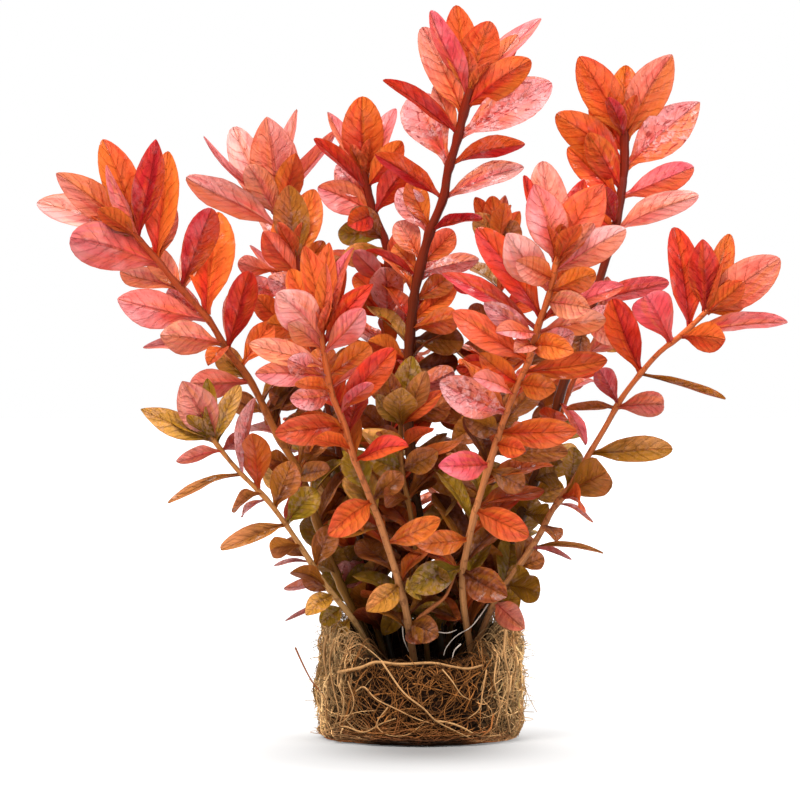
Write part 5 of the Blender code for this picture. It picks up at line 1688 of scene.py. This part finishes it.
def leaf_finish(name, glow, reflection_tint, warm_tint, deep_tint, gloss):
    """A thin wet leaf that light comes through, with painted pink reflection, a painted warmer half, and on
    old ones dashes and painted wet sheen.
    """
    finish, start = new_finish(name)
    along = start.mark("along")
    across = start.mark("across")
    pink_reflection = start.mark("pink_reflection")
    wear_and_wet_sheen = start.mark("wear_and_wet_sheen")
    chance = start.mark("chance")

    def pattern(stretch, run, detail):
        """A noise laid along the blade, other than on the next leaf."""
        wide, long, apart = stretch
        return start.grain(1.0, detail, start.place(across * wide, run * long, chance * apart))

    # where the parts of the blade lie
    edge = across.maths("ABSOLUTE", across)
    # Painted light: the halves of the fold are told apart here; one gets more painted pink reflection, the
    # other may be painted warmer
    mirrored = chance.maths("GREATER_THAN", chance, 0.5) * 2.0 - 1.0
    half = (across * mirrored).step(*PINK_HALF)
    slanted = along * VEIN_PAIRS - edge * VEIN_SLANT
    midrib = 1 - edge.step(*MIDRIB_EDGE)
    rim = edge.step(*RIM_EDGE)
    foot = 1 - along.step(*FOOT_END)

    # what grows on it
    streak = pattern(STREAK_STRETCH, slanted, 5.0).step(*STREAK_SETS_IN)
    fibre = pattern(FIBRE_STRETCH, along, 3.0).step(*FIBRE_SETS_IN)
    drift = pattern(DRIFT_STRETCH, along, 3.0)
    dashes = pattern(DASH_STRETCH, along, 3.0).step(*DASH_SETS_IN) * wear_and_wet_sheen
    blotch = start.grain(BLOTCH_GRAIN, 3.0)
    fine = start.grain(FINE_GRAIN)
    ripple = start.grain(RIPPLE_GRAIN)
    phase = slanted + streak * VEIN_WAVER
    vein = (1 - phase.maths("PINGPONG", phase, 0.5).step(0.0, VEIN_WIDTH)) * (1 - edge * VEIN_FADES)
    flush = (1 - edge.step(*FLUSH_EDGE)) * (1 - along.step(*FLUSH_END)) * fibre
    # Painted highlight: pale pink specks that stand for the wet shine on old leaves
    sheen = fine.step(*SHEEN_SETS_IN[0]) * blotch.step(*SHEEN_SETS_IN[1]) * wear_and_wet_sheen
    own = chance.maths("FRACT", chance * OTHER_CHANCE)

    colour = start.tint().scaled(LEAF_LIGHT + STREAK_LIGHT * streak + FIBRE_LIGHT * fibre - VEIN_SHADE * vein)
    warmed = drift.step(*WARM_SETS_IN) * (1 - half * WARM_PINK_HALF) * (1 - along * WARM_FADES)
    colour = colour.mixed(warm_tint, warmed * WARM_DRIFT)
    colour = colour.mixed(deep_tint, drift.step(*DEEP_SETS_IN) * DEEP_DRIFT)
    # Painted light: on some leaves the other half of the fold is painted warmer orange
    colour = colour.mixed(warm_tint, (1 - half) * own.step(*WARM_HALF_CHANCE) * WARM_HALF)
    # Painted reflection: a patchy pale pink laid over the blade as the shine of the sky, strongest on one
    # half
    least = REFLECTION_OTHER_HALF
    reflected = pink_reflection * (least + (1 - least) * half) * blotch.step(*REFLECTION_SETS_IN) * (1 - midrib)
    colour = colour.mixed(reflection_tint, reflected * REFLECTION_SHOWS)
    colour = colour.mixed(deep_tint, flush * FLUSH_SHOWS)
    darker = colour.node("ShaderNodeVectorMath", {"operation": "MULTIPLY"}, {0: colour, 1: MIDRIB_TINT})
    # Painted shade: the foot of each blade is darkened where it meets the stem; the darker midrib is its own
    # colour
    colour = colour.mixed(darker, midrib * MIDRIB_SHADE + foot * FOOT_SHADE)
    colour = colour.mixed(RIM_TINT, rim * RIM_SHOWS)
    # Painted highlight: the wet sheen laid into the colour
    colour = colour.mixed(SHEEN_TINT, sheen * SHEEN_SHOWS)
    colour = colour.mixed(DASH_TINT, dashes * DASH_SHOWS)

    smooth, blotch_rough, dash_rough = LEAF_ROUGHNESS
    rough = smooth + blotch_rough * blotch + dash_rough * dashes
    wet = ripple.step(*WET_SETS_IN) * gloss * WET_SHOWS
    height = streak * 0.45 - vein * 0.60 - midrib * 0.5 + blotch * 1.2
    height = height + ripple * 0.5 + fine * 0.12 + sheen * 0.5
    body = start.body(colour, rough, LEAF_GLOSS, {
        "Coat Weight": wet, "Coat Roughness": WET_ROUGHNESS, "Normal": start.bump(height, *LEAF_RELIEF)})
    through = start.node("ShaderNodeBsdfTranslucent", None, {"Color": (*glow, 1)}, "BSDF")
    share = LEAF_GLOW * (1 - midrib * 0.5)
    start.node("ShaderNodeMixShader", None, {0: share, 1: body, 2: through}).ends(MATERIAL_END)
    return finish


def stem_finish():
    """A smooth stem with fine streaks along it and a wet shine."""
    finish, start = new_finish("stem skin")
    along = start.mark("along")
    turn = start.mark("across")
    chance = start.mark("chance")
    round_it = (turn.maths("COSINE", turn) * 2.2, turn.maths("SINE", turn) * 2.2)
    streak = start.grain(1.6, 4.0, start.place(*round_it, along * 0.07 + chance * 30.0))
    fleck = start.grain(700.0)
    blotch = start.grain(90.0)
    colour = start.tint().scaled(0.30 + 0.95 * streak + 0.45 * blotch)
    colour = colour.mixed(STEM_FLECK_TINT, fleck.step(0.56, 0.68) * 0.50)
    normal = start.bump(streak * 0.8 + fleck * 0.3, *STEM_RELIEF)
    start.body(colour, 0.26 + 0.2 * blotch, STEM_GLOSS, {"Normal": normal}).ends(MATERIAL_END)
    return finish


def root_finish():
    """Dry matted roots, lighter and darker along their length."""
    finish, start = new_finish("root fibre")
    patch = start.grain(260.0, 3.0)
    fine = start.grain(1600.0)
    colour = start.tint().scaled(0.62 + 0.75 * patch)
    colour = colour.mixed(tuple(bpy.context.scene.rotala_colours.core), fine.step(0.58, 0.72) * 0.35)
    normal = start.bump(fine, *ROOT_RELIEF)
    start.body(colour, 0.62 + 0.2 * patch, ROOT_GLOSS, {"Normal": normal}).ends(MATERIAL_END)
    return finish


def core_finish():
    """The packed mass behind the roots, with a fibrous grain; its near-black is partly painted shade in the
    gaps and the dish.
    """
    finish, start = new_finish("packed roots")
    where = start.node("ShaderNodeTexCoord", output="Object")
    warp = start.grain(120.0, 3.0)
    bent = where.node("ShaderNodeVectorMath", {"operation": "MULTIPLY_ADD"}, {
        0: where, 1: CORE_GRAIN_STRETCH, 2: warp * CORE_GRAIN_BEND})
    fibres = start.grain(620.0, 5.0, bent)
    colour = start.tint().scaled(0.25 + 1.5 * fibres.step(0.40, 0.75))
    normal = start.bump(fibres, *CORE_RELIEF)
    start.body(colour, 0.85, CORE_GLOSS, {"Normal": normal}).ends(MATERIAL_END)
    return finish


def floor_finish():
    """A pale floor whose painted glow turns it white away from the clump, leaving a painted shadow at its
    foot.
    """
    finish, start = new_finish("floor")
    where = start.node("ShaderNodeTexCoord", output="Object")
    wide = where.node("ShaderNodeVectorMath", {"operation": "MULTIPLY"}, {0: where, 1: FLOOR_STRETCH})
    away = wide.node("ShaderNodeVectorMath", {"operation": "DISTANCE"}, {0: wide, 1: FLOOR_PAINTED_SHADOW}, "Value")
    # Painted light: the floor glows more the farther it lies from the painted shadow's middle
    glow = sum(more * away.step(near, far) for more, near, far in FLOOR_PAINTED_GLOWS)
    colour = (*bpy.context.scene.rotala_colours.floor, 1)
    body = start.body(colour, 0.9, FLOOR_GLOSS, {"Emission Color": glow, "Emission Strength": 1.0})
    body.ends(MATERIAL_END)
    return finish


FINISHES = {}


def only(name, make):
    """The finish of this name, made the first time that it is asked for."""
    if name not in FINISHES:
        FINISHES[name] = make()
    return FINISHES[name]


def leaf_finishes():
    """The leaf finishes, by the number that LEAF_KINDS gives."""
    return only("leaf", lambda: [leaf_finish(*family) for family in LEAF_FAMILIES])


# Settings that a user may change


def colour_setting(name, description, default):
    """A setting that holds a colour."""
    return bpy.props.FloatVectorProperty(
        name=name, description=description, default=default, size=3, min=0.0, max=1.0, subtype="COLOR")


def length_setting(name, description, default):
    """A setting that holds a length in metres."""
    return bpy.props.FloatProperty(
        name=name, description=description, default=default, min=0.0, precision=5, unit="LENGTH",
        subtype="DISTANCE")


def count_setting(name, description, default):
    """A setting that holds how many of something there are."""
    return bpy.props.IntProperty(name=name, description=description, default=default, min=0)


def leaf_colours():
    """Two colour settings for each tint of leaf."""
    settings = {}
    for tint, (foot, tip) in LEAF_TINTS.items():
        for end, where, colour in (("foot", "the stem", foot), ("tip", "their tip", tip)):
            settings[f"{tint}_{end}"] = colour_setting(
                f"{tint} {end}", f"Colour of {tint} leaves at {where}", colour)
    return settings


class RotalaSizes(bpy.types.PropertyGroup):
    """Sizes of the blades and numbers of the roots"""

    leaf_thickness: length_setting("Leaf thickness", "Thickness of a blade along its middle", 0.00030)
    leaf_edge: length_setting("Leaf edge", "Thickness of a blade at its edge", 0.00012)
    leaf_rib: length_setting("Leaf rib", "How far the midrib stands out below a blade", 0.00035)
    leaf_fold: bpy.props.FloatProperty(
        name="Leaf fold", description="How far a blade folds up along its midrib", default=math.radians(18),
        subtype="ANGLE")
    net_roots: count_setting("Net roots", "Number of roots that wander over the ball", 1000)
    band_roots: count_setting("Band roots", "Number of roots in the mat round the foot of the ball", 260)
    fuzz_roots: count_setting("Fuzz roots", "Number of short curled roots that stand off the ball", 1500)
    top_roots: count_setting("Top roots", "Number of roots that arch over the rim", 420)


class RotalaColours(bpy.types.PropertyGroup):
    """Colours of the leaves, the roots and the floor"""

    __annotations__ = {
        **leaf_colours(),
        "underside": colour_setting("Underside", "Colour that the undersides of leaves turn to",
                                    (0.44, 0.035, 0.020)),
        "root_side": colour_setting("Side roots", "Colour of the roots at the sides of the ball",
                                    (0.86, 0.530, 0.235)),
        "root_front": colour_setting("Front roots", "Colour of the roots at the front of the ball",
                                     (0.27, 0.100, 0.024)),
        "root_mat": colour_setting("Root mat", "Colour of the mat at the foot of the ball",
                                   (0.34, 0.105, 0.034)),
        "root_pale": colour_setting("Pale roots", "Colour of the long roots over the front",
                                    (0.54, 0.300, 0.125)),
        "root_white": colour_setting("White roots", "Colour of the young roots on top", (0.62, 0.520, 0.440)),
        "core": colour_setting("Packed roots", "Colour of the mass behind the roots", (0.022, 0.008, 0.003)),
        "floor": colour_setting("Floor", "Colour of the floor", (0.26, 0.26, 0.26)),
    }


# Operators


class ROTALA_OT_shoots(bpy.types.Operator):
    """Makes every stem up to its crown, with the leaves that grow along it"""

    bl_idname = "rotala.shoots"
    bl_label = "Make stems"

    def execute(self, context):
        for name in STEMS:
            make_shoot(name, "stem")
        return {"FINISHED"}


class ROTALA_OT_crowns(bpy.types.Operator):
    """Makes the leafy crown at the top of every stem"""

    bl_idname = "rotala.crowns"
    bl_label = "Make crowns"

    def execute(self, context):
        for name in STEMS:
            make_shoot(name, "crown")
        return {"FINISHED"}


class ROTALA_OT_leaves(bpy.types.Operator):
    """Makes the large leaves that are pieces of their own"""

    bl_idname = "rotala.leaves"
    bl_label = "Make large leaves"

    def execute(self, context):
        for name in STEMS:
            make_large_leaves(name)
        return {"FINISHED"}


class ROTALA_OT_root_ball(bpy.types.Operator):
    """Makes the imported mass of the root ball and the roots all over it"""

    bl_idname = "rotala.root_ball"
    bl_label = "Make root ball"

    def execute(self, context):
        sizes = context.scene.rotala_sizes
        core = Shape()
        root_core(core)
        make_piece("root_core", core, [only("core", core_finish)], ["root_ball"], "root_ball")
        for name, maker, count, seed in (
                ("root_net", root_net, sizes.net_roots, NET_SEED),
                ("root_band", root_band, sizes.band_roots, BAND_SEED),
                ("root_fuzz", root_fuzz, sizes.fuzz_roots, FUZZ_SEED),
                ("root_top", root_top, sizes.top_roots, TOP_SEED)):
            shape = Shape()
            maker(shape, random.Random(seed), count)
            make_piece(name, shape, [only("root", root_finish)], [], "root_ball")
        return {"FINISHED"}


class ROTALA_OT_long_roots(bpy.types.Operator):
    """Makes the long pale roots over the front of the ball and the ones that stray from it"""

    bl_idname = "rotala.long_roots"
    bl_label = "Make long roots"

    def execute(self, context):
        look = context.scene.rotala_colours
        rng = random.Random(LONG_SEED)
        shape = Shape()
        for thick, out, points in FRONT_ROOTS.values():
            tint = blend(look.root_pale, look.root_front, rng.uniform(0.0, RUNNER_BROWN))
            add_root(shape, runner_path(points, out), thick, RUNNER_SIDES, rng, tint, RUNNER_TAPER)
        for thick, colour, points in FREE_ROOTS.values():
            tint = tuple(getattr(look, colour))
            add_root(shape, free_path(points), thick, STRAY_SIDES, rng, tint, STRAY_TAPER)
        make_piece("root_runners", shape, [only("root", root_finish)], [], "root_ball")
        return {"FINISHED"}


class ROTALA_OT_stage(bpy.types.Operator):
    """Sets out the floor, the lights and the camera"""

    bl_idname = "rotala.stage"
    bl_label = "Make stage"

    def execute(self, context):
        make_stage(context.scene)
        return {"FINISHED"}


def leaf_rows(name):
    """The stem's leaves in order, each with its node and its own random numbers."""
    number = 0
    for index, row in enumerate(LEAVES[name] + MORE_LEAVES[name]):
        kind = row[0]
        if kind == "leaf":
            number += 1
            node = f"leaf_{name}_{number}"
        else:
            node = f"{kind}_{name}"
        yield node, row, random.Random(f"{name} {index}")


def grow_leaf(shape, axis, split, node, row, rng):
    """One listed leaf, from the stem's middle to where its packed blade ends, or its listed depth."""
    kind, x0, z0, x1, z1, width, *behind, tint = row
    stretch = {"crown": axis[split:], "stem": axis[:split], "leaf": axis}[kind]
    base, radius, stem_along, _ = nearest_on(stretch, x0, z0)
    tip = seen(x1, z1, base.y + behind[0]) if behind else tip_place(node, x1, z1)
    start = base + (tip - base).normalized() * radius * LEAF_START
    facing = leaf_frame(start, tip, width * LEAF_FULLER, stem_along)
    add_leaf(shape, start, tip, facing, tint, kind == "crown", rng)


def make_shoot(name, kind):
    """The part of a shoot that this kind of node holds: its length of stem and the leaves fused to it."""
    rng = random.Random(f"{name} {kind}")
    axis = stem_axis(name)
    split = split_of(name, axis)
    places = sorted({nearest_on(axis, row[1], row[2])[3] for row in LEAVES[name] + MORE_LEAVES[name]})
    share = split / (len(axis) - 1)
    if kind == "stem":
        foot, radius = axis[0]
        down = (foot - axis[STEM_ROOTED_RUN][0]).normalized()
        rooted = [(foot + down * STEM_ROOTED * (1 - i / STEM_STRIDE), radius) for i in range(STEM_STRIDE)]
        stretch = rooted + axis[:split + 1]
        first, span = STEM_STRIDE, (0.0, share)
    else:
        stretch = axis[split:]
        first, span = -split, (share, 1.0)
    shape = Shape()
    add_stem(shape, stretch, [place + first for place in places], STEM_TINTS[STEMS[name][5]], span, rng)
    for node, row, leaf_rng in leaf_rows(name):
        if node == f"{kind}_{name}":
            grow_leaf(shape, axis, split, node, row, leaf_rng)
    if kind == "crown":
        add_bud(shape, axis, CROWN_BUDS[name], rng)
    else:
        add_inner_leaves(shape, name, axis, split, places)
    called = {"stem": "shoot", "crown": "rosette"}[kind]
    finishes = leaf_finishes() + [only("stem", stem_finish)]
    make_piece(f"{called}_{name}", shape, finishes, [f"{kind}_{name}"], f"{kind}_{name}")


def make_large_leaves(name):
    """The stem's leaves that are nodes of their own, each as a blade in its place."""
    axis = stem_axis(name)
    split = split_of(name, axis)
    for node, row, rng in leaf_rows(name):
        if row[0] == "leaf":
            shape = Shape()
            grow_leaf(shape, axis, split, node, row, rng)
            make_piece(node.replace("leaf_", "blade_"), shape, leaf_finishes(), [node], node)


def add_light(scene, name, place, target, width, power, tint):
    """A square soft lamp turned to a target."""
    light = bpy.data.lights.new(name, "AREA")
    light.shape = "SQUARE"
    light.size = width
    light.energy = power
    light.color = tint
    thing = bpy.data.objects.new(name, light)
    scene.collection.objects.link(thing)
    thing.location = place
    thing.rotation_euler = (target - thing.location).to_track_quat("-Z", "Y").to_euler()


def make_stage(scene):
    """The floor, the white surroundings, the lamps and the camera."""
    mesh = bpy.data.meshes.new("floor")
    reach = FLOOR_REACH
    corners = [(-reach, -reach, 0), (reach, -reach, 0), (reach, reach, 0), (-reach, reach, 0)]
    mesh.from_pydata(corners, [], [(0, 1, 2, 3)])
    mesh.materials.append(only("floor", floor_finish))
    floor = bpy.data.objects.new("floor", mesh)
    scene.collection.objects.link(floor)

    world = bpy.data.worlds.new("studio")
    scene.world = world
    world.use_nodes = True
    tree = world.node_tree
    tree.nodes.clear()
    start = Wire(tree)
    soft = start.node("ShaderNodeBackground", None, {"Color": WHITE, "Strength": AMBIENT})
    plain = start.node("ShaderNodeBackground", None, {"Color": WHITE, "Strength": 1.0})
    path = start.node("ShaderNodeLightPath", None, None, "Is Camera Ray")
    start.node("ShaderNodeMixShader", None, {0: path, 1: soft, 2: plain}).ends("ShaderNodeOutputWorld")

    for name, place, width, power, tint in LIGHTS:
        add_light(scene, name, Vector(place), Vector(LIT_PLACE), width, power, tint)

    scene.view_settings.view_transform = "Standard"
    scene.view_settings.look = "None"
    camera = bpy.data.cameras.new("camera")
    camera.sensor_width = SENSOR
    camera.lens = SENSOR * VIEW_DISTANCE / FRAME_WIDTH
    camera.shift_x = SHIFT_ACROSS
    camera.shift_y = SHIFT_UP
    camera.clip_start, camera.clip_end = CAMERA_CLIP
    thing = bpy.data.objects.new("camera", camera)
    scene.collection.objects.link(thing)
    thing.location = eye() * MM
    thing.rotation_euler = (math.pi / 2, 0, 0)
    scene.camera = thing


class ROTALA_PT_panel(bpy.types.Panel):
    """Lists the pieces of the clump and their settings"""

    bl_idname = "ROTALA_PT_panel"
    bl_label = "Red rotala"
    bl_space_type = "VIEW_3D"
    bl_region_type = "UI"
    bl_category = "Rotala"

    def draw(self, context):
        for operator in OPERATORS:
            self.layout.operator(operator.bl_idname)
        for group in (context.scene.rotala_sizes, context.scene.rotala_colours):
            column = self.layout.column()
            for setting in group.bl_rna.properties.keys():
                if setting not in ("rna_type", "name"):
                    column.prop(group, setting)


OPERATORS = (ROTALA_OT_stage, ROTALA_OT_root_ball, ROTALA_OT_long_roots, ROTALA_OT_shoots, ROTALA_OT_crowns,
             ROTALA_OT_leaves)
CLASSES = (RotalaSizes, RotalaColours, *OPERATORS, ROTALA_PT_panel)


def register():
    for one in CLASSES:
        bpy.utils.register_class(one)
    bpy.types.Scene.rotala_sizes = bpy.props.PointerProperty(type=RotalaSizes)
    bpy.types.Scene.rotala_colours = bpy.props.PointerProperty(type=RotalaColours)


def unregister():
    del bpy.types.Scene.rotala_colours
    del bpy.types.Scene.rotala_sizes
    for one in reversed(CLASSES):
        bpy.utils.unregister_class(one)


def main():
    register()
    bpy.ops.rotala.stage()
    bpy.ops.rotala.root_ball()
    bpy.ops.rotala.long_roots()
    bpy.ops.rotala.shoots()
    bpy.ops.rotala.crowns()
    bpy.ops.rotala.leaves()


if __name__ == "__main__":
    main()
